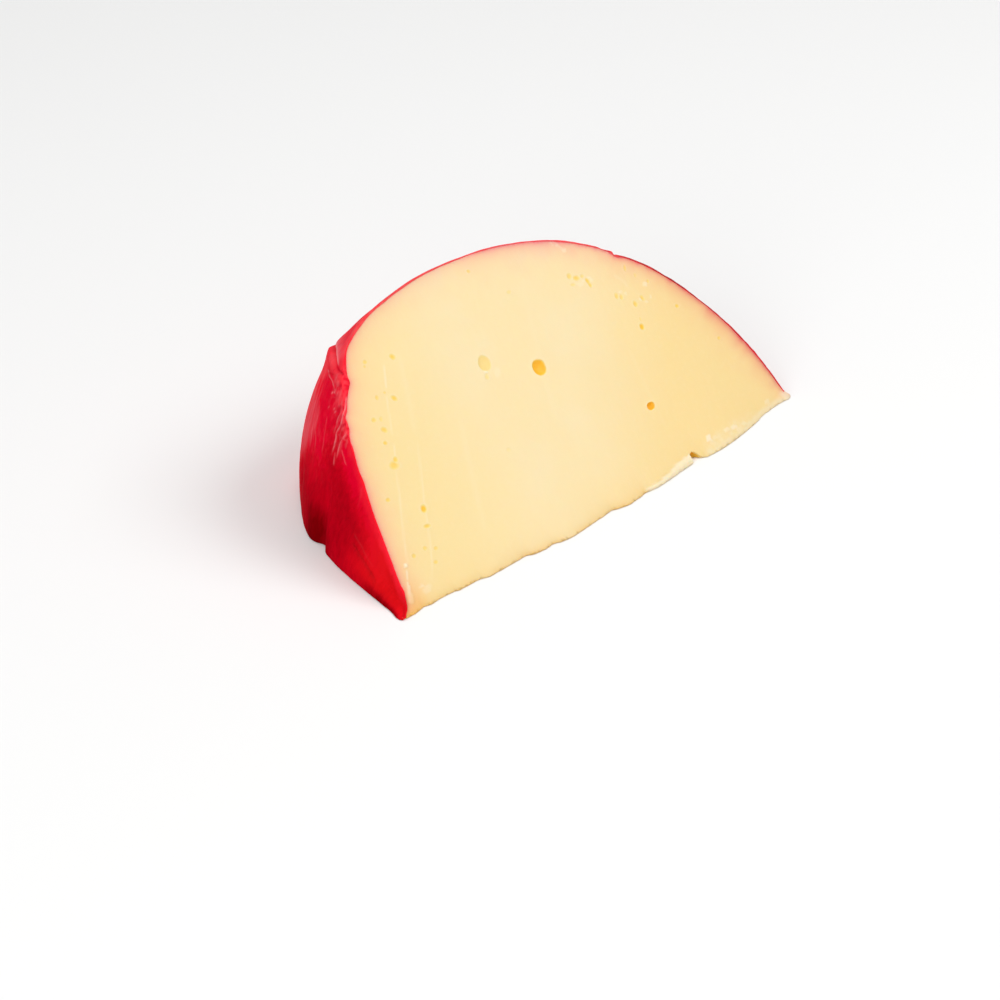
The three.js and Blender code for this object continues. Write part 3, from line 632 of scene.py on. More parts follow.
    # painted sheen: a pale pink band down the far left of the flattened end and on both sheets of the fold
    x, dist, share = fold_place(U, outline(U)[1] * A)
    down = U + 1.13 * deg
    band = curve([(70, 8), (79, 16), (82.6, 20), (86.2, 23.2), (90.4, 27.4), (94.8, 29.8), (98, 31.4), (102, 31.6), (105.2, 32.3), (108.6, 33.6), (111.5, 36), (113.5, 37.8), (116.5, 39), (120, 40), (130, 42)], down)
    arc = outline(U)[1] * A
    drift = 2.4 * noise3(U / 8, arc / 9, 0.3, 101) + 1.4 * noise3(U / 3, arc / 5, 0.6, 102)
    streaks = noise3((0.90 * U - 0.44 * arc) / 1.1, (0.44 * U + 0.90 * arc) / 8.0, 0.0, 141) + 0.6 * noise3((0.90 * U - 0.44 * arc) / 0.5, (0.44 * U + 0.90 * arc) / 4.0, 0.0, 144)
    painted_sheen = (1.12 + 0.28 * streaks) * smooth(-2.0, 3.6, band - deg + 0.4 * drift + 1.6 * streaks) * smooth(75, 87, down + drift) * (1 - smooth(106, 136, down + 3 * drift)) * (1 - smooth(80, 116, U + 4 * drift))
    painted_sheen = painted_sheen * (0.95 + 0.35 * fbm(U / 11, arc / 14, 0.8, 3, 103))
    on_lower = smooth(67.0, 72.0, U) * (1 - smooth(84, 92, U)) * smooth(0.4, 1.2, x) * bell(dist, 8)
    on_upper = smooth(67.5, 72.5, U) * (1 - smooth(82, 112, U + 4 * drift)) * (1 - smooth(-0.6, 0.0, x)) * (0.35 + 1.1 * bell(dist, 3.2))
    field("painted_sheen", np.clip(np.maximum(painted_sheen, np.maximum(0.55 * on_lower, 1.35 * on_upper)), 0, 1.9), 0.0)
    # crinkled, rubbed wax beside the cut, paler and uneven
    q1, q2 = -0.44 * U - 0.90 * arc, 0.90 * U - 0.44 * arc
    crinkle = fbm(q1 / 3.4, q2 / 1.1, 0.4, 3, 111) + 1.1 * noise3(U / 1.1, arc / 2.8, 0.0, 121) + 0.6 * noise3(U / 0.55, arc / 1.5, 0.0, 122)
    flush = smooth(46, 53, U) * (1 - smooth(66, 70, U)) * (1 - smooth(0.8, 5.0, back)) * np.clip(0.36 + 0.40 * (1 - smooth(0.5, 3.2, back)) + 0.75 * crinkle, 0, 1.2)
    worn = smooth(44, 52, U) * (1 - smooth(70, 77, U)) * smooth(13, 24, deg) * smooth(0.5, 3.0, back)
    speck = noise3((0.90 * U - 0.44 * arc) / 0.6, (0.44 * U + 0.90 * arc) / 2.4, 0.0, 142) + 0.7 * noise3(U / 0.8, arc / 1.3, 0.0, 143)
    flush = np.maximum(flush, 0.17 * worn * smooth(0.20, 0.85, speck))
    under = smooth(0.55, 0.70, share) * smooth(0.5, 1.1, x) * (1 - smooth(2.4, 4.6, x))
    zone_u = smooth(42, 48, u) * (1 - smooth(66, 70, u))
    rough_2 = noise3(u[:, None] / 0.9, 2.4 * over, 0, 112) + 0.5 * noise3(u[:, None] / 0.5, 4.0 * over, 0, 113)
    field("flush", np.maximum(flush, 0.95 * under), zone_u[:, None] * np.clip(0.90 + 0.8 * rough_2, 0, 1.38))
    pits_and_fold_shade = smooth(44, 52, U) * (1 - smooth(65, 68, U)) * (1 - smooth(4, 12, back)) * smooth(-0.05, 0.65, -crinkle) * (1 - under)
    pits_and_fold_shade = np.maximum(pits_and_fold_shade, 0.45 * worn * smooth(0.15, 0.80, -speck))
    # painted shade: a dark line along the end of the fold, carried on over the strip
    pits_and_fold_shade = np.maximum(pits_and_fold_shade, 0.9 * smooth(0.76, 0.86, share) * bell(x - 0.45, 0.55))
    pits_u = 0.9 * zone_u[:, None] * smooth(0.05, 0.7, -rough_2)
    field("pits_and_fold_shade", pits_and_fold_shade, np.maximum(pits_u, bell(u[:, None] - 65.2 + 1.9 * over, 0.34)))
    # the round side keeps a soft gloss, the flattened end is dry
    field("gloss", smooth(84, 116, U + 3 * drift) * smooth(1.5, 9, back), 0.0)
    # painted warm reflection towards the foot
    field("scarlet_reflection", (1 - smooth(12, 36, U)) * smooth(-5, 11, deg), 0.9)
    # how much lighter the thin wax beside the cut is: least in the thick foot of the corner
    lit = curve([(0, 0.1), (3, 0.25), (8, 0.75), (14, 1.0), (20, 1.0), (26, 0.66), (44, 0.66), (52, 0.82), (66, 0.84), (72, 1.0), (LENGTH, 1.0)], u)[:, None]
    field("lit", np.broadcast_to(lit, U.shape), lit)
    # edge of the wax along the top, where it is thin over the pale paste, and painted shade along its outer line,
    # darkest on the right
    at = np.broadcast_to(u[:, None], strip.shape[:2])
    pale_edge = curve([(0, 0), (60, 0), (68, 0.04), (72, 0.20), (78, 0.56), (86, 0.78), (100, 0.84), (112, 0.88), (165, 0.85), (176, 0.62), (190, 0.48), (205, 0.44), (LENGTH, 0.40)], u)
    dark_edge = curve([(0, 0), (70, 0), (80, 0.22), (100, 0.28), (130, 0.22), (150, 0.18), (168, 0.30), (178, 0.75), (190, 1.0), (205, 0.95), (215, 0.8), (LENGTH, 0.65)], u)
    dark_edge = dark_edge * np.clip(0.92 + 0.45 * noise3(u / 1.6, 0.2, 0.2, 115) + 0.25 * noise3(u / 4.5, 0.2, 3.2, 116), 0, 1)
    pale_edge = pale_edge * np.clip(0.92 + 0.35 * noise3(u / 1.3, 0.2, 0.2, 117), 0, 1)
    across = np.array([0.0, 0.2, 0.7, 1.0, 1.0, 1.0])
    field("coral", pale_edge[:, None] * bell(back, 0.5 + 0.6 * (1 - smooth(86, 98, U))), pale_edge[:, None] * (0.6 + 0.4 * across))
    field("shade", np.maximum(dark_edge[:, None] * bell(back, 0.9), dark), dark_edge[:, None] * np.where(u[:, None] < 168, [1.0, 0.95, 0.55, 0.25, 0.2, 0.2], [1.0, 1.0, 0.85, 0.45, 0.3, 0.3]))
    field("uu", U, at)
    field("vv", outline(U)[1] * A, (t * PSI)[:, None])
    return ob


# ----------------------------------------------------------------------- paste
def build_paste():
    # face boundary: front edge from A to B, then back along the wax
    edge_s = np.r_[np.linspace(-76.15, 8.0, 190), np.linspace(8.25, 52, 190), np.linspace(52.3, END_B - 0.3, 64)]
    edge = np.c_[edge_s, np.zeros_like(edge_s)]
    ub = np.r_[np.arange(0.8, 8, 0.4), np.arange(8.2, 86, 0.55), np.linspace(86.6, LENGTH - 3, 206), LENGTH - np.array([2.4, 1.9, 1.4, 0.95, 0.55])]
    s, t = outline(ub)
    s0 = np.interp(ub, _run, _s0)
    ns, nt = outline_normal(ub)
    d = skin_relief(ub, np.full_like(ub, PSI))[0]
    waxed = 1 - smooth(WAX_END - 1.2, WAX_END, ub)
    inset = np.maximum(wax_line(ub) - 0.28, 0.16 - d * smooth(0, 2, t) - 0.85 * np.abs(s - s0) * (ub < LENGTH / 2))
    bs = np.where(ub < LENGTH / 2, s0 - ns * inset, s - ns * inset * waxed)
    bt = np.maximum(t - nt * inset * waxed, 0.25)
    arc = np.c_[bs, bt][::-1]                                 # from B back to A
    ring = np.r_[edge, arc]
    nb = len(ring)
    pts = [ring]
    cons = [(i, (i + 1) % nb) for i in range(nb)]
    count = nb
    # eyes: concentric rings, the rim kept as an edge
    eye_zone = []
    for cs, ct, ra, rb, turn, depth, deep in EYES:
        c, sn = math.cos(math.radians(turn)), math.sin(math.radians(turn))
        n = int(np.clip(round(2 * math.pi * ra / 0.22), 14, 56))
        th = np.linspace(0, 2 * np.pi, n, endpoint=False)
        wob = 1 + 0.10 * noise3(np.cos(th) * 1.3 + cs, np.sin(th) * 1.3 + ct, 0.3, 81)
        for k, f in enumerate((0.34, 0.62, 0.80, 0.91, 0.97, 1.0, 1.07, 1.18, 1.36)):
            m = max(8, int(n * min(1, 0.35 + 0.65 * f)))
            tt = th if m >= n else np.linspace(0, 2 * np.pi, m, endpoint=False)
            ww = wob if m >= n else np.interp(tt, np.r_[th, 2 * np.pi], np.r_[wob, wob[0]])
            ex, ey = ra * f * ww * np.cos(tt), rb * f * ww * np.sin(tt)
            pts.append(np.c_[cs + ex * c - ey * sn, ct + ex * sn + ey * c])
            if f == 1.0:
                cons += [(count + i, count + (i + 1) % len(tt)) for i in range(len(tt))]
            count += len(tt)
        pts.append(np.array([[cs, ct]]))
        count += 1
        eye_zone.append((cs, ct, ra, rb, c, sn))
    # even filling
    step = 0.56
    gx = np.arange(END_A, END_B, step)
    gy = np.arange(0.3, CROWN_H, step * 0.866)
    X, Y = np.meshgrid(gx, gy, indexing="ij")
    X = X + 0.5 * step * (np.arange(len(gy)) % 2)[None, :]
    jx, jy = noise3(X * 3.1, Y * 3.1, 0.5, 95), noise3(X * 3.1, Y * 3.1, 7.5, 96)
    G = np.c_[(X + 0.08 * jx).ravel(), (Y + 0.08 * jy).ravel()]
    # inside the boundary, with a little room
    from_arc = np.full(len(G), 1e9)
    for i in range(0, len(G), 4000):
        g = G[i:i + 4000]
        from_arc[i:i + 4000] = np.sqrt(((g[:, None, :] - arc[None, ::2, :]) ** 2).sum(-1)).min(1)
    top_in = np.interp(G[:, 0], arc[::-1, 0], arc[::-1, 1], left=-1, right=-1)
    keep = (G[:, 1] < top_in) & (from_arc > 0.42) & (G[:, 1] > 0.28)
    for cs, ct, ra, rb, c, sn in eye_zone:
        dx, dy = G[:, 0] - cs, G[:, 1] - ct
        ex, ey = dx * c + dy * sn, -dx * sn + dy * c
        keep &= (ex / (ra * 1.55)) ** 2 + (ey / (rb * 1.55)) ** 2 > 1
    in_chip = (G[:, 0] > 28.0) & (G[:, 0] < 35.0) & (G[:, 1] < 4.4)
    pts.append(G[keep & ~in_chip])
    cx, cy = np.meshgrid(np.arange(28.05, 35.0, 0.2), np.arange(0.2, 4.3, 0.2), indexing="ij")
    pts.append(np.c_[cx.ravel(), cy.ravel()])
    P = np.concatenate(pts)
    vs, es, fs, _, _, _ = delaunay_2d_cdt([Vector(p) for p in P.tolist()], cons, [], 1, 1e-5)
    V2 = np.array([(v.x, v.y) for v in vs])
    fs = [tuple(f) for f in fs]
    S, T = V2[:, 0], V2[:, 1]
    h, pale_and_glint = face_relief(S, T, None)
    deep_mask = np.zeros(len(S))
    for (cs, ct, ra, rb, turn, depth, deep), (_, _, _, _, c, sn) in zip(EYES, eye_zone):
        dx, dy = S - cs, T - ct
        ex, ey = (dx * c + dy * sn) / ra, (-dx * sn + dy * c) / rb
        th = np.arctan2(ey, ex)
        wob = 1 + 0.10 * noise3(np.cos(th) * 1.3 + cs, np.sin(th) * 1.3 + ct, 0.3, 81)
        rho = np.hypot(ex, ey) / wob
        near = rho < 1.6
        big = ra > 1.6 or depth > 1.0
        dish = np.clip(1 - rho ** 2, 0, 1) ** (0.85 if big else 1.5)
        depth = depth * (1.0 if big else 0.40)
        roll = 0.03 * np.exp(-((rho - 1.12) / 0.16) ** 2) * min(1.0, ra)
        h = h + np.where(near, -depth * dish + roll, 0)
        deep_mask = np.maximum(deep_mask, np.where(near, deep * (1 - smooth(0.80 if big else 0.30, 1.10, rho)), 0))
        pale_and_glint = np.where(near & (rho < 1.05), pale_and_glint * 0.2, pale_and_glint)
        # painted highlight: pale ring on the raised rim of each eye
        pale_and_glint = np.maximum(pale_and_glint, np.where(near, 0.22 * np.exp(-((rho - 1.20) / 0.16) ** 2) * deep, 0))
    F3 = face_point(S, T, h)
    # find the boundary points again in the triangulation's own order
    lookup = {}
    for i, p in enumerate(V2):
        lookup[(round(float(p[0]), 3), round(float(p[1]), 3))] = i

    def find(p):
        k = (round(float(p[0]), 3), round(float(p[1]), 3))
        if k in lookup:
            return lookup[k]
        return int(((V2 - p) ** 2).sum(1).argmin())

    edge_i = [find(p) for p in edge]
    arc_i = [find(p) for p in arc[::-1]]                      # A to B
    F3[edge_i, 2] = 0.0
    verts = [F3]
    faces = [f for f in fs]
    n0 = len(F3)
    # side under the wax, from the face boundary round to the rest face
    rows = 26
    aa = np.linspace(PSI, 0, rows + 1)[1:]
    UB, AB = np.meshgrid(ub, aa, indexing="ij")
    side = skin_point(UB, AB, inset=0.95 * (1 - smooth(WAX_END - 4.0, WAX_END, UB)))
    side[:, -1, 2] = 0.0
    verts.append(side.reshape(-1, 3))
    idx = np.empty((len(ub), rows + 1), int)
    idx[:, 0] = arc_i
    idx[:, 1:] = n0 + np.arange(len(ub) * rows).reshape(len(ub), rows)
    faces += grid_faces(idx)
    # close the two corner tips and the rest face
    all_v = np.concatenate(verts)
    base_ring = edge_i + [int(i) for i in idx[::-1, -1]]
    tipA = [edge_i[0]] + [int(i) for i in idx[0, ::-1]]
    tipB = [edge_i[-1]] + [int(i) for i in idx[-1]]
    faces.append(tuple(tipA))
    faces.append(tuple(tipB))
    flat = [Vector((all_v[i, 0], all_v[i, 1])) for i in base_ring]
    bc = [(i, (i + 1) % len(flat)) for i in range(len(flat))]
    bv, _, bf, ov, _, _ = delaunay_2d_cdt(flat, bc, [], 1, 1e-6)
    back_map = [base_ring[o[0]] if o else None for o in ov]
    for f in bf:
        g = [back_map[i] for i in f]
        if None not in g:
            faces.append(tuple(g[::-1]))
    ob = new_object("cheese_paste", all_v, faces)
    n = len(all_v)
    # distance from the wax edge, for the stain it leaves in the paste; on the right it also carries painted shade
    stain_and_shade = np.zeros(n)
    share = curve([(0, 1.25), (14, 1.08), (60, 1.05), (72, 0.9), (82, 0.66), (118, 0.66), (130, 1.1), (160, 1.15), (180, 1.26), (195, 1.48), (225, 1.66), (LENGTH, 1.1)], ub[::-1])
    for i in range(0, n0, 4000):
        g = V2[i:i + 4000]
        far = np.sqrt(((g[:, None, :] - arc[None, :, :]) ** 2).sum(-1))
        k = far.argmin(1)
        dd = np.maximum(far[np.arange(len(g)), k] - 0.28, 0)
        dd = dd * (1 + 0.25 * noise3(g[:, 0] / 3.5, g[:, 1] / 3.5, 0.5, 97))
        blot = 1 + 0.30 * noise3(ub[::-1][k] / 1.8, far[np.arange(len(g)), k] / 3.0, 0.5, 98) * smooth(130, 160, ub[::-1][k])
        stain_and_shade[i:i + len(g)] = blot * share[k] * (0.28 * (1 - 0.45 * smooth(178, 192, ub[::-1][k])) * np.exp(-dd / 0.5) + 0.38 * np.exp(-dd / 2.7))
    # painted warm reflection and shade along the front edge and by the waxed corner
    warm_reflection_shade = 0.60 * np.exp(-T / 0.85) + 0.09 * np.exp(-(T / 6) ** 2) + 0.42 * (1 - smooth(-71, -65, S)) * np.exp(-(T / 7) ** 2)
    warm_reflection_shade = warm_reflection_shade * (1 - 0.75 * smooth(8.6, 10.5, S) * (1 - smooth(29.2, 29.6, S)))
    warm_reflection_shade = warm_reflection_shade * (1 - 0.55 * smooth(28, 36, S)) * (1 - smooth(68, 72, S)) * (1 + 0.35 * noise3(S / 5, T / 3, 0.4, 124))
    # painted warm light inside the broken place at the edge, in the colour of the eye walls
    deep_mask = np.maximum(deep_mask, 0.95 * smooth(0.3, 1.6, chip(S, T)))
    for name, val in (("pale_and_glint", pale_and_glint), ("eye", deep_mask), ("warm_reflection_shade", np.clip(warm_reflection_shade, 0, 1))):
        full = np.zeros(n)
        full[:n0] = val
        point_attr(ob, name, full)
    point_attr(ob, "stain_and_shade", stain_and_shade)
    # deeper yellow towards both ends of the face, and all over where it has not dried
    s_all = all_v[:, 0]
    t_all = np.full(n, 20.0)
    t_all[:n0] = T
    point_attr(ob, "to_left", smooth(12, 56, -s_all - 0.35 * np.maximum(20 - t_all, 0)))
    point_attr(ob, "to_right", smooth(0, 50, s_all + 0.8 * (30 - t_all)))
    return ob


# -------------------------------------------------------------------- materials
def node_tree(name):
    m = bpy.data.materials.new(name)
    m.use_nodes = True
    nt = m.node_tree
    nt.nodes.clear()
    out = nt.nodes.new("ShaderNodeOutputMaterial")
    bsdf = nt.nodes.new("ShaderNodeBsdfPrincipled")
    nt.links.new(bsdf.outputs[0], out.inputs[0])
    return m, nt, bsdf


def ramp(nt, fac, stops):
    r = nt.nodes.new("ShaderNodeValToRGB")
    while len(r.color_ramp.elements) < len(stops):
        r.color_ramp.elements.new(0.5)
    for e, (p, c) in zip(r.color_ramp.elements, stops):
        e.position = p
        e.color = (*c, 1) if len(c) == 3 else c
    nt.links.new(fac, r.inputs[0])
    return r.outputs[0]


def mix(nt, fac, a, b, mode="MIX"):
    n = nt.nodes.new("ShaderNodeMix")
    n.data_type = "RGBA"
    n.blend_type = mode
    for sock, v in ((n.inputs[0], fac), (n.inputs[6], a), (n.inputs[7], b)):
        if hasattr(v, "is_output"):
            nt.links.new(v, sock)
        elif isinstance(v, (int, float)):
            sock.default_value = v
        else:
            sock.default_value = (*v, 1)
    return n.outputs[2]


def math_node(nt, op, a, b=None, c=None, clamp=False):
    n = nt.nodes.new("ShaderNodeMath")
    n.operation = op
    n.use_clamp = clamp
    for sock, v in zip(n.inputs, (a, b, c)):
        if v is None:
            continue
        if hasattr(v, "is_output"):
            nt.links.new(v, sock)
        else:
            sock.default_value = v
    return n.outputs[0]


def map_range(nt, v, lo, hi, a=0.0, b=1.0, kind="SMOOTHSTEP"):
    n = nt.nodes.new("ShaderNodeMapRange")
    n.interpolation_type = kind
    nt.links.new(v, n.inputs[0])
    for i, x in ((1, lo), (2, hi), (3, a), (4, b)):
        n.inputs[i].default_value = x
    return n.outputs[0]


def attr(nt, name):
    n = nt.nodes.new("ShaderNodeAttribute")
    n.attribute_name = name
    return n.outputs["Fac"]


def coords(nt, scale=(1, 1, 1), rot=(0, 0, 0)):
    tc = nt.nodes.new("ShaderNodeTexCoord")
    mp = nt.nodes.new("ShaderNodeMapping")
    mp.inputs["Scale"].default_value = scale
    mp.inputs["Rotation"].default_value = rot
    nt.links.new(tc.outputs["Object"], mp.inputs["Vector"])
    return mp.outputs[0]


def noise_tex(nt, vec, scale, detail=3.0, rough=0.5, distort=0.0):
    n = nt.nodes.new("ShaderNodeTexNoise")
    n.inputs["Scale"].default_value = scale
    n.inputs["Detail"].default_value = detail
    n.inputs["Roughness"].default_value = rough
    n.inputs["Distortion"].default_value = distort
    nt.links.new(vec, n.inputs["Vector"])
    return n.outputs[0]


def srgb(r, g, b):
    def f(x):
        x /= 255
        return x / 12.92 if x <= 0.04045 else ((x + 0.055) / 1.055) ** 2.4
    return f(r), f(g), f(b)


def paste_material():
    m, nt, bsdf = node_tree("prato_paste")
    obj = coords(nt)
    base = (0.80, 0.640, 0.348)
    light = (0.80, 0.655, 0.385)
    left_col = (0.80, 0.622, 0.290)
    right_col = (0.80, 0.600, 0.266)
    # slow mottling of the paste
    cloud = noise_tex(nt, obj, 38, 3, 0.5, 0.3)
    col = mix(nt, map_range(nt, cloud, 0.35, 0.68), base, light)
    # deeper towards both ends
    col = mix(nt, math_node(nt, "MULTIPLY", attr(nt, "to_left"), 0.95), col, left_col)
    col = mix(nt, math_node(nt, "MULTIPLY", attr(nt, "to_right"), 0.95), col, right_col)
    # fine curd grain
    grain = noise_tex(nt, obj, 900, 2, 0.6)
    col = mix(nt, map_range(nt, grain, 0.45, 0.8, 0, 0.08), col, (0.84, 0.70, 0.46))
    # stain of the wax in the paste next to the rind; darker on the right, where it is painted shade as the face rounds
    # off
    stain_and_shade = attr(nt, "stain_and_shade")
    stain_shade_col = mix(nt, attr(nt, "to_right"), (0.83, 0.025, 0.140), (0.71, 0.050, 0.085))
    col = mix(nt, math_node(nt, "MULTIPLY", stain_and_shade, 1.0, clamp=True), col, stain_shade_col)
    # pale cut marks, torn paste and the pressed lip, with painted highlights at the eyes
    pale_and_glint = attr(nt, "pale_and_glint")
    col = mix(nt, math_node(nt, "MULTIPLY", pale_and_glint, 0.80, clamp=True), col, (0.83, 0.735, 0.545))
    # painted warm reflection and shade along the front edge
    col = mix(nt, attr(nt, "warm_reflection_shade"), col, (0.80, 0.40, 0.085))
    # walls of the eyes: light that has gone through more paste
    eye = attr(nt, "eye")
    wall = mix(nt, eye, (0.80, 0.625, 0.105), (0.89, 0.455, 0.026))
    col = mix(nt, math_node(nt, "MULTIPLY", eye, 1.5, clamp=True), col, wall)
    nt.links.new(col, bsdf.inputs["Base Color"])
    rough = map_range(nt, cloud, 0.3, 0.7, 0.42, 0.54, "LINEAR")
    nt.links.new(rough, bsdf.inputs["Roughness"])
    bsdf.inputs["IOR"].default_value = 1.40
    bsdf.inputs["Specular IOR Level"].default_value = 0.35
    bsdf.inputs["Subsurface Weight"].default_value = 0.25
    bsdf.inputs["Subsurface Radius"].default_value = (1.0, 0.55, 0.22)
    bsdf.inputs["Subsurface Scale"].default_value = 0.004
    # fine relief
    streak = noise_tex(nt, coords(nt, (900, 120, 120), (0.82, 0, 0.5)), 1.0, 2, 0.5)
    pore = noise_tex(nt, obj, 700, 3, 0.6)
    hgt = math_node(nt, "ADD", math_node(nt, "MULTIPLY", streak, 0.5), math_node(nt, "MULTIPLY", pore, 0.6))
    bump = nt.nodes.new("ShaderNodeBump")
    bump.inputs["Strength"].default_value = 0.10
    bump.inputs["Distance"].default_value = 0.0006
    nt.links.new(hgt, bump.inputs["Height"])
    nt.links.new(bump.outputs[0], bsdf.inputs["Normal"])
    return m


def wax_material():
    m, nt, bsdf = node_tree("red_wax")
    obj = coords(nt)
    deep = (0.20, 0.0002, 0.002)
    full = (0.99, 0.0012, 0.021)
    bright = (0.98, 0.016, 0.035)
    cloud = noise_tex(nt, obj, 60, 4, 0.55, 0.6)
    # strokes that run down the skin
    vec = nt.nodes.new("ShaderNodeCombineXYZ")
    uu, vv = attr(nt, "uu"), attr(nt, "vv")
    run = math_node(nt, "ADD", math_node(nt, "MULTIPLY", uu, -0.44), math_node(nt, "MULTIPLY", vv, -0.90))
    over = math_node(nt, "ADD", math_node(nt, "MULTIPLY", uu, 0.90), math_node(nt, "MULTIPLY", vv, -0.44))
    nt.links.new(math_node(nt, "MULTIPLY", run, 0.10), vec.inputs[0])
    nt.links.new(math_node(nt, "MULTIPLY", over, 0.62), vec.inputs[1])
    stroke = noise_tex(nt, vec.outputs[0], 1.0, 4, 0.6, 0.3)
    red_tone_and_shade = math_node(nt, "ADD", attr(nt, "red_tone_and_shade"), map_range(nt, cloud, 0.25, 0.75, -0.10, 0.10, "LINEAR"))
    fine = nt.nodes.new("ShaderNodeCombineXYZ")
    nt.links.new(math_node(nt, "MULTIPLY", uu, 0.9), fine.inputs[0])
    nt.links.new(math_node(nt, "MULTIPLY", vv, 0.32), fine.inputs[1])
    mottle = map_range(nt, noise_tex(nt, fine.outputs[0], 1.0, 3, 0.6, 0.4), 0.3, 0.7, -0.075, 0.075, "LINEAR")
    red_tone_and_shade = math_node(nt, "ADD", red_tone_and_shade, math_node(nt, "MULTIPLY", mottle, math_node(nt, "SUBTRACT", 1.0, attr(nt, "gloss"))))
    red_tone_and_shade = math_node(nt, "ADD", red_tone_and_shade, map_range(nt, stroke, 0.25, 0.75, -0.045, 0.045, "LINEAR"), clamp=True)
    # red mixed by the tone, which carries painted light and shade
    col = mix(nt, red_tone_and_shade, deep, full)
    # cooler where it is lightest
    cool = math_node(nt, "MULTIPLY", map_range(nt, red_tone_and_shade, 0.52, 0.70, 0, 0.6), map_range(nt, red_tone_and_shade, 0.75, 0.86, 1, 0.1))
    col = mix(nt, cool, col, (0.77, 0.0008, 0.028))
    # painted warm reflection: scarlet rather than crimson towards the foot
    col = mix(nt, math_node(nt, "MULTIPLY", attr(nt, "scarlet_reflection"), red_tone_and_shade), col, (0.78, 0.0092, 0.0062))
    # thin edge beside the cut, where the pale paste shows through
    rim = attr(nt, "rim_mm")
    rim = math_node(nt, "ADD", rim, map_range(nt, cloud, 0.2, 0.8, -0.8, 0.8, "LINEAR"))
    rim = math_node(nt, "ADD", rim, map_range(nt, noise_tex(nt, obj, 380, 3, 0.6), 0.2, 0.8, -0.9, 0.9, "LINEAR"))
    col = mix(nt, math_node(nt, "MULTIPLY", map_range(nt, rim, 2.9, 0.2, 0, 0.92), attr(nt, "lit")), col, bright)
    col = mix(nt, math_node(nt, "MULTIPLY", attr(nt, "flush"), 0.72), col, (0.95, 0.044, 0.062))
    # dark pits of the crinkled wax, and painted shade along the end of the fold
    col = mix(nt, math_node(nt, "MULTIPLY", attr(nt, "pits_and_fold_shade"), 0.75), col, (0.68, 0.004, 0.024))
    # painted sheen, pale pink over the red
    veil = math_node(nt, "MULTIPLY", attr(nt, "painted_sheen"), map_range(nt, stroke, 0.25, 0.75, 0.12, 0.34, "LINEAR"), clamp=True)
    col = mix(nt, veil, col, (0.90, 0.235, 0.265))
    col = mix(nt, attr(nt, "coral"), col, (0.82, 0.135, 0.130))
    # painted shade: the outer line of the rim and the grooves
    col = mix(nt, attr(nt, "shade"), col, (0.27, 0.010, 0.012))
    # whitened creases with painted highlights on their crests and on the fold's edge
    crease_whitening_glint = attr(nt, "crease_whitening_glint")
    col = mix(nt, math_node(nt, "MULTIPLY", crease_whitening_glint, 0.9, clamp=True), col, (0.92, 0.36, 0.37))
    # dry scuffs
    scuff = noise_tex(nt, obj, 260, 4, 0.7, 0.8)
    col = mix(nt, map_range(nt, scuff, 0.66, 0.80, 0, 0.20), col, (0.88, 0.04, 0.06))
    nt.links.new(col, bsdf.inputs["Base Color"])
    rough = math_node(nt, "ADD", map_range(nt, cloud, 0.3, 0.7, 0.36, 0.48, "LINEAR"), map_range(nt, scuff, 0.6, 0.8, 0.0, 0.15, "LINEAR"))
    nt.links.new(rough, bsdf.inputs["Roughness"])
    bsdf.inputs["IOR"].default_value = 1.46
    bsdf.inputs["Specular IOR Level"].default_value = 0.0008
    bsdf.inputs["Specular Tint"].default_value = (1.0, 0.55, 0.58, 1)
    bsdf.inputs["Subsurface Weight"].default_value = 0.08
    bsdf.inputs["Subsurface Radius"].default_value = (1.0, 0.12, 0.10)
    bsdf.inputs["Subsurface Scale"].default_value = 0.0015
    peel = noise_tex(nt, obj, 420, 3, 0.55)
    hgt = math_node(nt, "ADD", math_node(nt, "MULTIPLY", peel, 0.6), math_node(nt, "MULTIPLY", stroke, 0.35))
    bump = nt.nodes.new("ShaderNodeBump")
    bump.inputs["Strength"].default_value = 0.22
    bump.inputs["Distance"].default_value = 0.0008
    nt.links.new(hgt, bump.inputs["Height"])
    nt.links.new(bump.outputs[0], bsdf.inputs["Normal"])
    # soft gloss, rubbed dull in places
    smear = noise_tex(nt, coords(nt, (1, 1, 2.2), (0.3, 0.2, 0)), 30, 5, 0.62, 1.3)
    gloss = math_node(nt, "MULTIPLY", attr(nt, "gloss"), map_range(nt, smear, 0.34, 0.64, 0.08, 0.40))
    gloss = math_node(nt, "MULTIPLY", gloss, map_range(nt, scuff, 0.56, 0.70, 1.0, 0.55))
    nt.links.new(gloss, bsdf.inputs["Coat Weight"])
    bsdf.inputs["Coat Roughness"].default_value = 0.22
    bsdf.inputs["Coat IOR"].default_value = 1.45
    nt.links.new(bump.outputs[0], bsdf.inputs["Coat Normal"])
    return m


def floor_material():
    m, nt, bsdf = node_tree("pale_floor")
    n = noise_tex(nt, coords(nt), 3.0, 3, 0.5)
    nt.links.new(mix(nt, n, (0.845, 0.845, 0.84), (0.86, 0.86, 0.855)), bsdf.inputs["Base Color"])
    bsdf.inputs["Roughness"].default_value = 0.65
    bsdf.inputs["Specular IOR Level"].default_value = 0.2
    return m


# ------------------------------------------------------------------------ build
paste = build_paste()
wax = build_wax()
paste.data.materials.append(paste_material())
wax.data.materials.append(wax_material())
for piece, slot_name in ((paste, "paste"), (wax, "wax")):
    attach(piece, "root")
    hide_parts("cheese")

# ------------------------------------------------------------------------ stage
fl = bpy.data.meshes.new("floor")
R = 4.0
fl.from_pydata([(-R, -R, -0.0002), (R, -R, -0.0002), (R, R, -0.0002), (-R, R, -0.0002)], [], [(0, 1, 2, 3)])
floor = bpy.data.objects.new("floor", fl)
bpy.context.scene.collection.objects.link(floor)
floor.data.materials.append(floor_material())

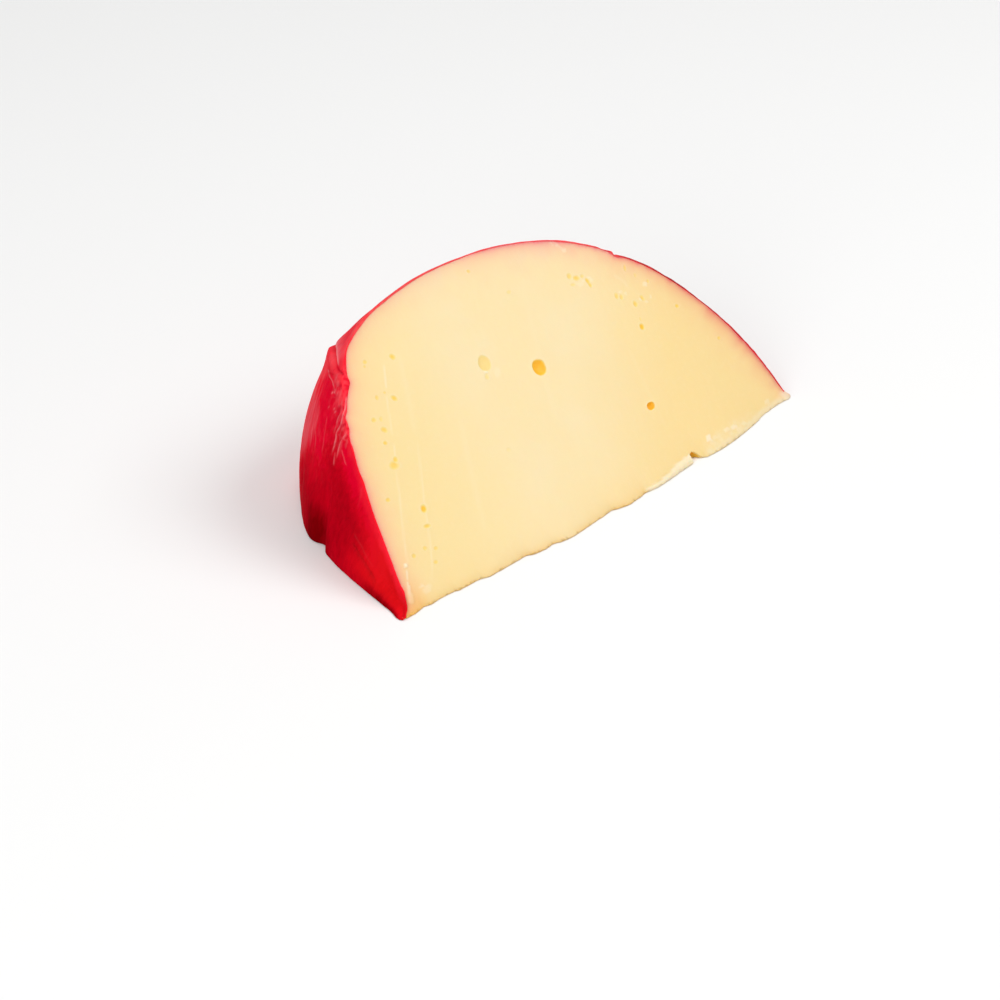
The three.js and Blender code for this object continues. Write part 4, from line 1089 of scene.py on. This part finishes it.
# camera at the photograph's viewing angle
AZ, EL, ROLL = math.radians(-45.631), math.radians(32.054), math.radians(-0.80)
eye_mm = np.array([-487.263, -435.521, 409.289]) + SHIFT
back = Vector((math.sin(AZ) * math.cos(EL), -math.cos(AZ) * math.cos(EL), math.sin(EL)))
right = Vector((math.cos(AZ), math.sin(AZ), 0))
up = back.cross(right)
r2 = math.cos(ROLL) * right + math.sin(ROLL) * up
u2 = -math.sin(ROLL) * right + math.cos(ROLL) * up
cam_data = bpy.data.cameras.new("camera")
cam_data.sensor_width = 36.0
cam_data.lens = 2902.5 * 36.0 / 1000.0
cam_data.clip_start, cam_data.clip_end = 0.01, 50
cam = bpy.data.objects.new("camera", cam_data)
bpy.context.scene.collection.objects.link(cam)
cam.matrix_world = Matrix((
    (r2.x, u2.x, back.x, eye_mm[0] * MM),
    (r2.y, u2.y, back.y, eye_mm[1] * MM),
    (r2.z, u2.z, back.z, eye_mm[2] * MM),
    (0, 0, 0, 1)))
bpy.context.scene.camera = cam


def softbox(name, pos, size, power, colour=(1, 1, 1), aim=(0, 0, 0.02)):
    l = bpy.data.lights.new(name, "AREA")
    l.shape = "RECTANGLE"
    l.size, l.size_y = size
    l.energy = power
    l.color = colour
    o = bpy.data.objects.new(name, l)
    bpy.context.scene.collection.objects.link(o)
    o.location = pos
    o.rotation_mode = "QUATERNION"
    o.rotation_quaternion = (Vector(pos) - Vector(aim)).to_track_quat("Z", "Y")
    return o


softbox("key", (0.55, -0.75, 1.05), (0.9, 0.7), 10.0)
softbox("top", (-0.1, 0.25, 1.25), (1.2, 1.0), 7.0)
softbox("fill", (-1.05, -0.40, 0.55), (0.7, 0.7), 5.0)

world = bpy.data.worlds.new("studio")
bpy.context.scene.world = world
world.use_nodes = True
bg = world.node_tree.nodes.get("Background") or world.node_tree.nodes.new("ShaderNodeBackground")
bg.inputs[0].default_value = (1.0, 1.0, 1.0, 1)
bg.inputs[1].default_value = 0.35

vs = bpy.context.scene.view_settings
vs.view_transform = "Standard"
vs.look = "None"
vs.exposure = 0.0
vs.gamma = 1.0
